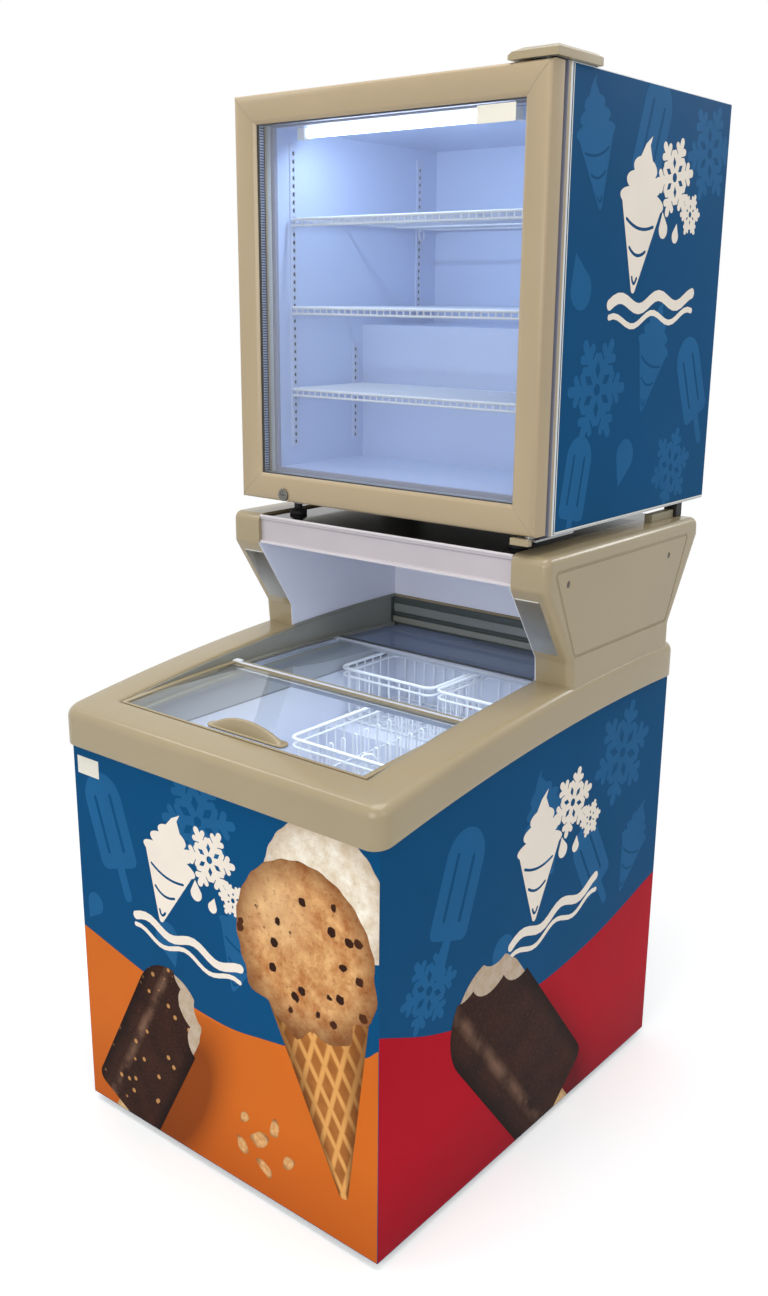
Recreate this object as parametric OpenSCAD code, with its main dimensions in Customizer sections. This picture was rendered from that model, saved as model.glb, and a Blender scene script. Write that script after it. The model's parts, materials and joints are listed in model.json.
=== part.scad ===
// Ice cream merchandising freezer: a chest with curved sliding glass lids, a canopy over
// its rear half, and an upright glass-door cabinet that stands on the canopy.
// Millimetres, +Z up, the door faces -Y. The origin is on the floor, midway between the
// front of the chest's top frame and the knob behind the upright cabinet.

/* [Chest] */
// Width of the chest
chest_w = 640; // [600:10:700]
// Depth of the chest
chest_d = 794; // [780:2:830]
// Height of the body under the top frame, at its highest
seam_top = 708; // [690:2:730]
// Radius of the side sweep of the top edge
seam_r = 4128; // [3800:50:4600]
// Distance of the top of that sweep from the back
seam_apex_back = 104; // [60:2:160]
// Ground clearance under the body
floor_gap = 14; // [10:1:30]
// Steel sheet thickness
sheet_t = 1.2; // [0.8:0.1:2]
// Thickness of the printed skin
skin_t = 0.6; // [0.4:0.1:1]
// Insulation under the inner floor
floor_foam = 60; // [45:1:75]
// Height of the step over the machine space, above the body's lower edge
step_z = 554; // [480:2:580]
// Distance of the step's front face from the back
step_depth = 274; // [250:2:300]
// Insulation round the machine space
step_foam = 40; // [30:1:50]
// Wall of the inner liner
liner_t = 2; // [1.5:0.5:3]

/* [Top frame] */
// Height of the moulding
frame_h = 60; // [50:1:75]
// How far it stands out at the sides
frame_over_x = 10; // [6:1:16]
// How far it stands out at the front
frame_over_y = 12; // [8:1:20]
// Width of the moulding beside the opening, over the body
frame_bar = 62; // [54:1:80]
// Front edge of the opening
opening_front = 48; // [40:1:60]
// Back edge of the opening, from the back of the chest
opening_back = 44; // [36:1:60]
// Rounding of the outer top edge
frame_edge_r = 16; // [8:1:20]
// Rounding of the outer corners in plan
frame_corner_r = 26; // [20:1:27]

/* [Lids] */
// Radius of the curved glass
lid_r = 4900; // [4000:50:6000]
// Height of the upper track above the body's highest edge
lid_rise = 22; // [16:1:28]
// Distance of the top of the curve from the back
lid_apex_back = 364; // [330:2:400]
// Height of a lid's edge strip
lid_h = 8; // [6:0.5:9]
// Step between the upper and the lower track
track_step = 10; // [9.5:0.5:12]
// Width of a track ledge
ledge_w = 10; // [8:1:14]
// Glass thickness
glass_t = 4; // [3:0.5:5]
// Back end of the front lid
lid_split = 304; // [280:2:330]
// Overlap of the two lids
lid_overlap = 14; // [12:1:30]
// Back end of the rear lid
lid_back = 560; // [540:2:580]
// Width of a lid's cross bar
bar_w = 12; // [10:1:18]
// Length of the handle
handle_l = 160; // [120:2:200]
// Height of the handle's grip
handle_h = 20; // [14:1:30]

/* [Baskets] */
// Thickness of the thin wires
wire_d = 3; // [2:0.5:4]
// Thickness of the rim wires
rim_d = 6; // [4:0.5:8]
// Spacing of the wires
basket_pitch = 24; // [20:1:40]
// Left side of the front basket
front_basket_x = -92; // [-140:2:-60]
// Front of the front basket
front_basket_y = 258; // [240:2:290]
// Height of the front basket's rim
front_basket_top = 640; // [600:5:655]
// Width of a rear basket
rear_basket_w = 222; // [180:2:235]
// Depth of a rear basket
rear_basket_d = 176; // [140:2:190]
// Height of a rear basket
rear_basket_h = 106; // [80:2:130]

/* [Canopy] */
// How far the canopy stands out over the body's sides
canopy_over = 6; // [0:1:8]
// Width of a bracket
bracket_w = 64; // [56:1:68]
// Height of the canopy's top face above the body's lower edge
canopy_top = 976; // [950:2:1010]
// Front of the canopy
canopy_front = 372; // [360:2:390]
// Wall of the bracket moulding
bracket_wall = 4; // [3:0.5:6]
// Rounding of the bracket's outer edges
bracket_r = 12; // [6:1:16]
// Height of the fascia
fascia_h = 46; // [36:1:56]
// Thickness of the canopy glass
canopy_glass_t = 6; // [4:1:8]

/* [Upright cabinet] */
// How far the cabinet's side stands in from the chest's side
up_side_in = 20; // [10:1:32]
// Height of the cabinet
up_h = 648; // [620:2:680]
// Gap between the canopy glass and the cabinet
up_gap = 28; // [24:1:40]
// Door thickness
door_t = 32; // [28:1:36]
// Width of the door's frame bars
door_bar = 44; // [38:1:50]
// Front face of the door, from the chest's front
door_front = 370; // [360:2:380]
// Gap between the door and the cabinet, filled by the gasket
gasket_gap = 10; // [8:1:14]
// Depth of the cabinet's body behind that gap
up_d = 508; // [490:2:540]
// Insulation of the walls
up_wall = 50; // [45:1:56]
// Insulation of the cabinet floor
up_floor = 55; // [48:1:60]
// Depth of the inside
inner_d = 438; // [420:2:444]
// Height of the inner step above the cabinet's lower face
hump_h = 290; // [270:2:300]
// Depth of the inner step
hump_d = 214; // [200:2:224]
// Height of the lowest shelf above the cabinet's lower face
shelf_low = 188; // [160:1:190]
// Height of the middle shelf
shelf_mid = 323; // [310:1:340]
// Height of the top shelf
shelf_high = 464; // [450:1:480]
// Spacing of the shelf wires
shelf_pitch = 22; // [18:1:30]
// Diameter of the lamp
lamp_d = 16; // [12:1:18]
// Radius of the hinge pins
pin_r = 4; // [3:0.5:5]
// Running clearance round the hinge pins
pin_gap = 0.06; // [0.02:0.02:0.1]

/* [Hidden] */

$fn = 48;
fit = 0.3;          // gap between pieces that only lie together
slide = 0.5;        // gap at the sides of what slides
arc_steps = 24;     // segments in a full-depth arc

half_w = chest_w / 2;
opening_half = half_w - frame_bar;
canopy_half = half_w + canopy_over;
steel_half = half_w - skin_t;
inner_steel = steel_half - sheet_t;
seam_apex = chest_d - seam_apex_back;
opening_end = chest_d - opening_back;
liner_half = opening_half - liner_t;
step_y = chest_d - step_depth;
cap_lap = 20;       // how far the body reaches up inside the top frame

lid_apex = chest_d - lid_apex_back;
lid_cz = seam_top + lid_rise - lid_r;       // height of the lids' far axis
upper_r = lid_r - lid_h + glass_t / 2;      // radius of the upper ledge
lower_r = upper_r - track_step;             // radius of the lower ledge
rail_base = 6;
rail_wall = 3;
upper_half = opening_half - rail_wall - slide;
lower_half = opening_half - rail_wall - ledge_w - slide;

canopy_inner = canopy_half - bracket_w;
lining_t = 1.5;
beam_h = 24;
canopy_back = 860;
canopy_glass_z = canopy_top - 4;
ceiling_z = canopy_glass_z - canopy_glass_t - beam_h;

up_z = canopy_glass_z + up_gap;
up_half = half_w - up_side_in;
body_front = door_front + door_t + gasket_gap;
body_back = body_front + up_d;
flange_t = 7;
shell_front = body_front + flange_t;
up_top = up_z + up_h;
door_lift = 4;
door_low = up_z + door_lift;
in_half = up_half - up_wall;
in_floor = up_z + up_floor;
in_top = up_top - up_wall + 2;
in_back = body_front + inner_d;
hump_top = up_z + hump_h;
hump_front = in_back - hump_d;
hinge_x = up_half - 17;
hinge_y = door_front + door_t / 2 + 1;

machine_half = opening_half - 8;
machine_front = step_y + step_foam;
machine_top = step_z - step_foam;
up_machine_half = in_half + 20;
up_machine_front = hump_front + step_foam;
up_machine_top = hump_top - step_foam;

knob_out = 12;
mid_y = (body_back + knob_out - frame_over_y) / 2;  // the origin, from the chest's front face

corner_steps = 5;
side_steps = 16;
edge_steps = 4;
frame_over_back = 6;
opening_corner_r = 0.2;
trim_depth = 18;
trim_step = 8;
rail_in = opening_half - rail_wall - 2 * ledge_w;
skin_lap = 6;
label_in = 62;
label_x = half_w - label_in;
label_w = 52;
label_z = 598;
label_h = 30;
label_t = 0.8;
plate_in = 17;
plate_drop = 7;
plate_w = 65;
plate_h = 24;

strip_w = 9;
lid_nose = 4;
handle_x = 10;
handle_y = 67;
handle_foot = 4;
foot_w = 20;
grip_t = 8;

rim_gap = 14;
level_pitch = 120;
basket_side = 5;

comp_x = 110;
comp_y = 110;
comp_r = 68;
comp_h = 165;
comp_foot = 14;
cond_x = -230;
cond_back = 14;
cond_t = 44;
cond_w = 180;
cond_h = 190;
cond_fins = 24;
fan_x = -140;
fan_y = 84;
fan_z = 95;
fan_r = 78;
fan_hub_r = 16;
fan_shaft_r = 3;
motor_r = 22;
motor_l = 50;
control_x = 150;
knob_x = control_x + 50;
louvre_pitch = 16;
louvre_h = 6;
knob_r = 16;
knob_z = 90;
knob_shaft_r = 3;
inlet_w = 30;
inlet_h = 24;
inlet_z = 20;
switch_w = 13;
switch_h = 22;
switch_z = 140;
switch_turn = 16;

corner_r = bracket_r + 2;
face_drop = 54;
neck_drop = 176;
neck_back = 78;
base_back = 85;
rear_base = chest_d - 14;
rear_neck_drop = 173;
rear_bend_drop = 31;
recess = 2;
recess_w = 46;
screw_in = [60, 105];
screw_y = [canopy_front + screw_in[0], canopy_back - screw_in[1]];
screw_drop = [47, 52];
screw_r = 3;
screw_head_r = 4;
plate_x = canopy_half - bracket_wall - 16;
plate_t = 3;
beam_w = 20;
beam_in = [20, 60];
beam_y = [canopy_front + beam_in[0], canopy_back - beam_in[1]];
fascia_in = 6;
fascia_t = 4;
canopy_glass_front = canopy_front + 15;
canopy_glass_end = canopy_back - 10;
tie_w = 14;
tie_from = 90;
tie_to = 13;
tie_h = 13;
up_foot_x = canopy_inner - 32;
up_foot_y = 439;
rear_foot_x = canopy_half - 41;
rear_foot_y = canopy_back - 19;

door_high = up_top - 2;
pane_t = 4;
pane_front = door_front + 9;
pane_gap = 10;
pane_half = up_half - door_bar + 8 - fit;
gasket_in = 27;
gasket_w = 16;
lock_in = 101;
lock_x = lock_in - up_half;
lock_up = 12;
lock_r = 9;
plug_r = 6;
cam_l = 14;
keeper_y = door_front + door_t + 2;
bore_deep = 14;
leaf_t = 3;
leaf_w = 38;
leaf_back = 70;
bolt_in = [48, 12];
keeper_half = 8;
keeper_h = 8;
keeper_l = 30;
cover_w = 72;
cover_lap = 6;
cover_h = 16;
edge_strip = 5;
lamp_half = 200;
lamp_y = body_front + 28;
holder_w = 16;
pilaster_t = 3;
pilaster_w = 16;
slot_pitch = 12.7;
upright_low = 30;
upright_high = 20;
upright_on_step = 22;
upright_under_step = 30;
upright_front = 42;
upright_mid = 23;
upright_back = 54;
pilaster_y = [body_front + upright_front, hump_front - upright_mid, in_back - upright_back];
shelf_wire = 5;
shelf_front = body_front + 28;
shelf_half = in_half - pilaster_t - 4.5;
shelf_drop = 10;
clip_t = 9;

foot_inset = 60;
foot_stud_r = 5;
foot_pad_r = 19;
foot_lip = 3;
drain_x = -150;
drain_y = 110;
drain_r = 10;
drain_wall = 1.5;
coil_d = 8;
coil_turns = 7;
coil_low = 130;
up_coil_turns = 5;
up_coil_pitch = 40;
up_coil_front = 40;
up_coil_clear = 60;
up_coil_low = hump_top + up_coil_clear;

steel = "#8d9093";
beige = "#d6cbab";
white = "#eef1f4";
blue = "#185086";

function arc_z(y, apex, top, r) = top - r + sqrt(r * r - (y - apex) * (y - apex));
function seam_z(y) = arc_z(y, seam_apex, seam_top, seam_r);
function ledge_z(y, r) = lid_cz + sqrt(r * r - (y - lid_apex) * (y - lid_apex));
function spread(a, b, n) = [for (i = [0:n]) a + (b - a) * i / n];
function backwards(list) = [for (i = [len(list) - 1:-1:0]) list[i]];
function seam_line(y0, y1, dz) = [for (y = spread(y0, y1, arc_steps)) [y, seam_z(y) + dz]];
function ledge_line(y0, y1, r) = [for (y = spread(y0, y1, arc_steps)) [y, ledge_z(y, r)]];
function unit(v) = v / norm(v);
function left_normal(v) = [-v[1], v[0]];
function corner_shift(p, i, d) =
    let (n = len(p), a = unit(p[i] - p[(i + n - 1) % n]), b = unit(p[(i + 1) % n] - p[i]),
         m = left_normal(a) + left_normal(b))
    p[i] + m * d / (1 + a * b);
function inset(p, d) = [for (i = [0:len(p) - 1]) corner_shift(p, i, d)];
function round_corner(a, b, c, r, n) =
    let (u = unit(a - b), v = unit(c - b), half = acos(u * v) / 2, t = r / tan(half),
         m = b + unit(u + v) * r / sin(half), p = b + u * t - m, q = b + v * t - m)
    [for (i = [0:n]) m + (p * sin((180 - 2 * half) * (1 - i / n))
        + q * sin((180 - 2 * half) * i / n)) / sin(180 - 2 * half)];

// A flat shape whose first axis is Y and second is Z, drawn out from x0 to x1
module along_x(x0, x1) {
    translate([x0, 0, 0]) rotate([90, 0, 90]) linear_extrude(x1 - x0) children();
}

// A flat shape whose first axis is X and second is Z, drawn back from y0 to y1
module along_y(y0, y1) {
    translate([0, y1, 0]) rotate([90, 0, 0]) linear_extrude(y1 - y0) children();
}

// A block given by its two corners
module block(low, high) {
    translate(low) cube(high - low);
}

// Two copies, mirrored across the middle
module both_sides() {
    children();
    mirror([1, 0, 0]) children();
}

// Moves what is measured from the chest's front lower edge to the part's origin
module place() {
    translate([0, -mid_y, floor_gap]) children();
}

// Closed solid through rings of points, the last ring joined to the first
module ring_loft(rings) {
    n = len(rings[0]);
    m = len(rings);
    points = [for (ring = rings) for (p = ring) p];
    sides = [for (k = [0:m - 1]) for (i = [0:n - 1]) for (half = [0, 1])
        let (a = k * n + i, b = k * n + (i + 1) % n,
             c = ((k + 1) % m) * n + (i + 1) % n, d = ((k + 1) % m) * n + i)
        half == 0 ? [a, b, c] : [a, c, d]];
    polyhedron(points, sides, convexity = 8);
}

// A mitred frame in the XZ plane. The section's first value runs inwards from the outer
// edge and its second runs back from y
module mitred(section, half_x, z0, z1, y) {
    corners = [[-1, -1], [1, -1], [1, 1], [-1, 1]];
    ring_loft([for (c = corners) [for (s = section)
        [c[0] * (half_x - s[0]), y + s[1], c[1] < 0 ? z0 + s[0] : z1 - s[0]]]]);
}

// All that lies under a line along the side of the chest
module under(line) {
    first = line[0];
    last = line[len(line) - 1];
    polygon(concat([[first[0], 0]], line, [[last[0], 0]]));
}

// Chest body

module chest_shell() {
    color(steel) place() difference() {
        along_x(-steel_half, steel_half) under(seam_line(skin_t, chest_d, cap_lap));
        along_x(-inner_steel, inner_steel) translate([0, -1])
            under(seam_line(skin_t + sheet_t, chest_d - sheet_t, cap_lap + 10));
        block([-machine_half, chest_d - 5, sheet_t], [machine_half, chest_d + 5, machine_top]);
    }
}

module chest_base() {
    color(steel) place() difference() {
        block([-inner_steel, skin_t + sheet_t, 0], [inner_steel, chest_d - sheet_t, sheet_t]);
        foot_places() translate([0, 0, -1]) cylinder(h = sheet_t + 2, r = foot_stud_r);
        translate([drain_x, drain_y, -1]) cylinder(h = sheet_t + 2, r = drain_r + drain_wall);
    }
}

module foot_places() {
    for (x = [-half_w + foot_inset, half_w - foot_inset])
        for (y = [foot_inset, chest_d - foot_inset]) translate([x, y, 0]) children();
}

module chest_feet() {
    color("#2b2c2e") place() foot_places() {
        rotate_extrude() polygon([[0, -floor_gap], [foot_pad_r, -floor_gap],
            [foot_pad_r, -floor_gap + foot_lip], [foot_stud_r + 4, -floor_gap + 7],
            [foot_stud_r + 4, 0], [foot_stud_r, 0], [foot_stud_r, 12], [0, 12]]);
    }
}

// The foam fills what the steel, the liner and the machine space leave
module chest_foam() {
    color("#e8dfb8") place() difference() {
        along_x(-inner_steel, inner_steel) translate([0, sheet_t])
            under(seam_line(skin_t + sheet_t, chest_d - sheet_t, cap_lap - sheet_t));
        inner_space(liner_t, -50);
        jacket(coil_low - coil_d, coil_low + coil_d * 2 * coil_turns);
        block([-machine_half, machine_front, 0], [machine_half, chest_d, machine_top]);
        foot_places() cylinder(h = 13, r = foot_stud_r + 0.5);
        translate([drain_x, drain_y, 0]) cylinder(h = floor_foam * 2, r = drain_r + drain_wall);
    }
}

// The space inside the liner, grown by a wall all round
module inner_space(wall, over) {
    along_x(-liner_half - wall, liner_half + wall) polygon([
        [opening_front + liner_t - wall, floor_foam + liner_t - wall],
        [step_y + wall, floor_foam + liner_t - wall],
        [step_y + wall, step_z - wall],
        [opening_end - liner_t + wall, step_z - wall],
        [opening_end - liner_t + wall, seam_top - over],
        [opening_front + liner_t - wall, seam_top - over]]);
}

// The liner reaches up to the lids' rails, and its drain spout runs down through the foam
module chest_liner() {
    color(white) place() difference() {
        union() {
            intersection() {
                inner_space(liner_t, -50);
                along_x(-half_w, half_w)
                    under(ledge_line(opening_front, opening_end, lower_r - rail_base));
            }
            translate([drain_x, drain_y, 0]) cylinder(h = floor_foam + 1, r = drain_r + drain_wall);
        }
        inner_space(0, -100);
        translate([drain_x, drain_y, -1]) cylinder(h = floor_foam * 2, r = drain_r);
    }
}

// Room for the cooling tube, wound round the outside of the liner
module jacket(z0, z1) {
    difference() {
        block([-opening_half - coil_d - fit, opening_front - coil_d - fit, z0],
            [opening_half + coil_d + fit, step_y + liner_t + coil_d + fit, z1]);
        block([-opening_half, opening_front, z0 - 1],
            [opening_half, step_y + liner_t, z1 + 1]);
    }
}

// One turn of flat-sided tube round a box; with no front it runs round three sides
module turn(half_x, y0, y1, z, front) {
    difference() {
        block([-half_x - coil_d, y0 - front, z], [half_x + coil_d, y1 + coil_d, z + coil_d]);
        block([-half_x, front > 0 ? y0 : y0 - 1, z - 1], [half_x, y1, z + coil_d + 1]);
    }
}

module evaporators() {
    color("#b87333") place() {
        for (i = [0:coil_turns - 1])
            turn(opening_half, opening_front, step_y + liner_t, coil_low + i * 2 * coil_d,
                coil_d);
        block([opening_half, opening_front - coil_d, coil_low],
            [opening_half + coil_d, opening_front, coil_low + (2 * coil_turns - 1) * coil_d]);
        for (i = [0:up_coil_turns - 1])
            turn(in_half + liner_t, shell_front + up_coil_front, in_back + liner_t,
                up_coil_low + i * up_coil_pitch, 0);
        block([in_half + liner_t, shell_front + up_coil_front, up_coil_low],
            [in_half + liner_t + coil_d, shell_front + up_coil_front + coil_d,
             up_coil_low + (up_coil_turns - 1) * up_coil_pitch + coil_d]);
    }
}

module wrap_front() {
    color(blue) place() block([-steel_half, 0, 0], [steel_half, skin_t, seam_z(0) + skin_lap]);
}

module wrap_sides() {
    color(blue) place() both_sides()
        along_x(steel_half, half_w) under(seam_line(0, chest_d, skin_lap));
}

module chest_label() {
    color("#efe9dc") place() block([-label_x - label_w, -label_t, label_z],
        [-label_x, 0, label_z + label_h]);
}

// Top frame

// Points round a rectangle with rounded corners, the long sides cut into steps
function round_path(half, y0, y1, r) =
    let (turns = [[half - r, y0 + r, -90], [half - r, y1 - r, 0],
                  [r - half, y1 - r, 90], [r - half, y0 + r, 180]],
         corner = [for (t = turns) [for (k = [0:corner_steps])
             let (a = t[2] + 90 * k / corner_steps) [t[0] + r * cos(a), t[1] + r * sin(a)]]])
    concat(corner[0], between(corner[0][corner_steps], corner[1][0]), corner[1], corner[2],
        between(corner[2][corner_steps], corner[3][0]), corner[3]);
function between(a, b) = [for (k = [1:side_steps - 1]) a + (b - a) * k / side_steps];

// Cross-section of the moulding at one point of its path: skirt, rounded edge, top, underside
function frame_section(o, q, s) =
    let (d = norm(q - o), u = (q - o) / d, r = frame_edge_r, lip = 3)
    concat([top_point(o, u, 0, 0)],
        [for (k = [0:edge_steps]) let (a = 90 * k / edge_steps)
            top_point(o, u, r - r * cos(a), frame_h - r + r * sin(a))],
        [top_point(o, u, d - lip, frame_h), top_point(o, u, d, frame_h - lip),
         top_point(o, u, d, cap_lap + fit),
         [s[0], s[1], seam_z(s[1]) + cap_lap + fit], [s[0], s[1], seam_z(s[1])]]);
function top_point(o, u, d, h) = let (p = o + u * d) [p[0], p[1], seam_z(p[1]) + h];

module top_frame() {
    outer = round_path(half_w + frame_over_x, -frame_over_y, chest_d + frame_over_back,
        frame_corner_r);
    opening = round_path(opening_half, opening_front, opening_end, opening_corner_r);
    skirt = round_path(half_w + fit, -fit, chest_d + fit, 1);
    color(beige) place()
        ring_loft([for (i = [0:len(outer) - 1]) frame_section(outer[i], opening[i], skirt[i])]);
}

// Rails: two ledges a step apart on each side, and a wall behind them

module rail_band(x0, x1, low, high) {
    y1 = opening_end - trim_depth - fit;
    along_x(x0, x1) polygon(concat(ledge_line(opening_front, y1, low),
        backwards(ledge_line(opening_front, y1, high))));
}

module lid_rails() {
    color("#6f7270") place() {
        both_sides() {
            rail_band(rail_in, opening_half, lower_r - rail_base, lower_r);
            rail_band(rail_in + ledge_w, opening_half, lower_r - 1, upper_r);
            along_x(opening_half - rail_wall, opening_half) polygon(concat(
                ledge_line(opening_front, opening_end - trim_depth - fit, upper_r - 1),
                backwards(seam_line(opening_front, opening_end - trim_depth - fit, frame_h - 4))));
        }
        along_x(-rail_in - 1, rail_in + 1) polygon([
            [opening_front, ledge_z(opening_front, lower_r - rail_base)],
            [opening_front + ledge_w, ledge_z(opening_front + ledge_w, lower_r - rail_base)],
            [opening_front + ledge_w, ledge_z(opening_front + ledge_w, lower_r - fit)],
            [opening_front, ledge_z(opening_front, lower_r - fit)]]);
    }
}

// Stepped moulding at the back of the opening, and the bar that the fixed pane starts from
module rear_trim() {
    e = opening_end;
    z = ledge_z(e, lower_r);
    z0 = ledge_z(e - trim_step, lower_r);
    z1 = ledge_z(e - trim_depth, lower_r);
    top = seam_z(e) + frame_h - 4;
    color("#4c4f50") place() {
        along_x(-opening_half, opening_half) polygon([[e, z - rail_base + fit],
            [e - trim_depth, z1 - rail_base + fit], [e - trim_depth, z1], [e - trim_step, z0],
            [e - trim_step, z + 22], [e - trim_step / 2, z + 22], [e - trim_step / 2, top],
            [e, top]]);
        lid_piece(lower_half, lid_back + 2, lid_back + 2 + bar_w, lower_r, 0, lid_h);
    }
}

// Lids: each piece is a band between two radii about the far axis, so it slides along itself

function at_r(y, r) = let (t = asin((y - lid_apex) / lid_r))
    [lid_apex + r * sin(t), lid_cz + r * cos(t)];

module lid_band(x0, x1, y0, y1, r0, r1) {
    n = ceil((y1 - y0) / 24);
    along_x(x0, x1) polygon(concat([for (y = spread(y0, y1, n)) at_r(y, r0)],
        backwards([for (y = spread(y0, y1, n)) at_r(y, r1)])));
}

module lid_piece(half, y0, y1, r, low, high) {
    lid_band(-half, half, y0, y1, r + low, r + high);
}

// Edge strips and cross bars round a pane
module lid_surround(half, y0, y1, r, front_w, back_w) {
    difference() {
        lid_piece(half, y0, y1, r, fit, fit + lid_h);
        lid_piece(half - strip_w, y0 + front_w, y1 - back_w, r, -1, lid_h + 2);
    }
}

module lid_pane(half, y0, y1, r, front_w, back_w) {
    low = fit + (lid_h - glass_t) / 2;
    lid_piece(half - strip_w, y0 + front_w, y1 - back_w, r, low, low + glass_t);
}

module front_lid_glass() {
    color("#bcd0d8", 0.4) place()
        lid_pane(upper_half, opening_front + 1, lid_split, upper_r, lid_nose, bar_w);
}

module front_lid_frame() {
    color("#c9c4b4") place()
        lid_surround(upper_half, opening_front + 1, lid_split, upper_r, lid_nose, bar_w);
}

module rear_lid_glass() {
    color("#bcd0d8", 0.4) place()
        lid_pane(lower_half, lid_split - lid_overlap, lid_back, lower_r, bar_w, bar_w);
}

module rear_lid_frame() {
    color("#b6b8b6") place()
        lid_surround(lower_half, lid_split - lid_overlap, lid_back, lower_r, bar_w, bar_w);
}

module fixed_glass() {
    color("#7c8890", 0.5) place() lid_piece(lower_half, lid_back + 2 + bar_w + fit,
        opening_end - trim_step - fit, lower_r, fit, fit + glass_t);
}

// The handle stands square on the glass: a flat foot and a half-moon grip
module front_lid_handle() {
    t = asin((handle_y - lid_apex) / lid_r);
    low = upper_r + fit + (lid_h + glass_t) / 2;
    grip_r = (pow(handle_l / 2 - 8, 2) + handle_h * handle_h) / (2 * handle_h);
    color(beige) place() translate([handle_x, lid_apex, lid_cz]) rotate([-t, 0, 0])
        translate([0, 0, low]) {
            for (s = [-1, 1]) translate([s * (handle_l / 2 - foot_w / 2), 0, 0])
                cylinder(h = handle_foot, r = foot_w / 2);
            block([foot_w / 2 - handle_l / 2, -foot_w / 2, 0],
                [handle_l / 2 - foot_w / 2, foot_w / 2, handle_foot]);
            intersection() {
                translate([0, grip_t / 2, handle_foot + handle_h - grip_r]) rotate([90, 0, 0])
                    cylinder(h = grip_t, r = grip_r);
                block([-handle_l, -grip_t, handle_foot / 2],
                    [handle_l, grip_t, handle_h * 2]);
            }
        }
}

// Baskets: flat grids of thin wire between loops of thick wire

// A closed ring of square bar whose middle line runs between two corners
module loop(x0, y0, x1, y1, z, d) {
    translate([0, 0, z - d / 2]) linear_extrude(d) difference() {
        translate([x0 - d / 2, y0 - d / 2]) square([x1 - x0 + d, y1 - y0 + d]);
        translate([x0 + d / 2, y0 + d / 2]) square([x1 - x0 - d, y1 - y0 - d]);
    }
}

// Evenly spaced bars of a grid, from a low corner to a high corner, first along one axis and
// then, where there are any, along the other
module bars(low, high, across, up, d) {
    for (i = [1:across - 1]) translate([low[0] + (high[0] - low[0]) * i / across - d / 2, low[1]])
        square([d, high[1] - low[1]]);
    if (up > 1) for (i = [1:up - 1])
        translate([low[0], low[1] + (high[1] - low[1]) * i / up - d / 2])
            square([high[0] - low[0], d]);
}

module wire_basket(x0, y0, w, depth, z0, h) {
    r = rim_d / 2;
    t = wire_d / 2;
    x1 = w - rim_d;
    y1 = depth - rim_d;
    nx = round(w / basket_pitch);
    ny = round(depth / basket_pitch);
    nz = ceil(h / level_pitch);
    translate([x0 + r, y0 + r, z0 + r]) {
        for (y = [0, y1]) along_y(y - t, y + t) bars([0, 0], [x1, h - rim_d], nx, nz, wire_d);
        for (x = [0, x1]) along_x(x - t, x + t) bars([0, 0], [y1, h - rim_d], ny, nz, wire_d);
        translate([0, 0, -t]) linear_extrude(wire_d) bars([0, 0], [x1, y1], nx, 2, wire_d);
        for (z = [h - rim_d, h - rim_d - rim_gap, 0]) loop(0, 0, x1, y1, z, rim_d);
        for (x = [0, x1]) for (y = [0, y1])
            block([x - t - 0.5, y - t - 0.5, 0], [x + t + 0.5, y + t + 0.5, h - rim_d]);
    }
}

module front_basket() {
    z0 = floor_foam + liner_t + fit;
    color(white) place() wire_basket(front_basket_x, front_basket_y,
        liner_half - basket_side - front_basket_x, step_y - basket_side - front_basket_y,
        z0, front_basket_top - z0);
}

module rear_basket_at(x0) {
    color(white) place() wire_basket(x0, opening_end - liner_t - basket_side - rear_basket_d,
        rear_basket_w, rear_basket_d, step_z + fit, rear_basket_h);
}

module rear_basket_left() {
    rear_basket_at(basket_side - liner_half);
}

module rear_basket_right() {
    rear_basket_at(2 * basket_side - liner_half + rear_basket_w);
}

// Machines: the same unit stands in the chest's machine space and in the cabinet's

module both_machines() {
    translate([0, chest_d - sheet_t, sheet_t]) children();
    translate([0, body_back - sheet_t, up_z + sheet_t]) children();
}

module compressors() {
    color("#26282a") place() both_machines() translate([comp_x, -comp_y, 0]) {
        for (s = [-1, 1]) translate([s * (comp_r - 12), 0, 0]) cylinder(h = comp_foot + 2, r = 9);
        translate([0, 0, comp_foot]) rotate_extrude() polygon([[0, 0], [comp_r - 12, 0],
            [comp_r, 12], [comp_r, comp_h * 0.45], [comp_r + 4, comp_h * 0.45],
            [comp_r + 4, comp_h * 0.45 + 5], [comp_r, comp_h * 0.45 + 5],
            [comp_r * 0.93, comp_h * 0.78], [comp_r * 0.7, comp_h * 0.94], [0, comp_h]]);
        translate([0, comp_r * 0.5, comp_foot + comp_h * 0.7])
            cylinder(h = comp_h * 0.35, r = 5);
    }
}

module condensers() {
    color("#3b3d40") place() both_machines() translate([cond_x, -cond_back - cond_t, 0]) {
        for (i = [0:cond_fins]) block([cond_w * i / cond_fins, 0, 0],
            [cond_w * i / cond_fins + 1, cond_t, cond_h]);
        for (i = [1:4]) translate([-4, cond_t / 2, cond_h * i / 5]) rotate([0, 90, 0])
            cylinder(h = cond_w + 9, r = 4);
    }
}

module fan_motors() {
    color("#55585c") place() both_machines() translate([fan_x, -fan_y, fan_z]) {
        rotate([90, 0, 0]) cylinder(h = motor_l, r = motor_r);
        block([-motor_r * 0.6, -motor_l, -fan_z], [motor_r * 0.6, -motor_l + 10, 0]);
        block([-motor_r, -motor_l - 6, -fan_z], [motor_r, -motor_l + 16, 2 - fan_z]);
        rotate([-90, 0, 0]) cylinder(h = 12, r = fan_shaft_r);
    }
}

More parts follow.
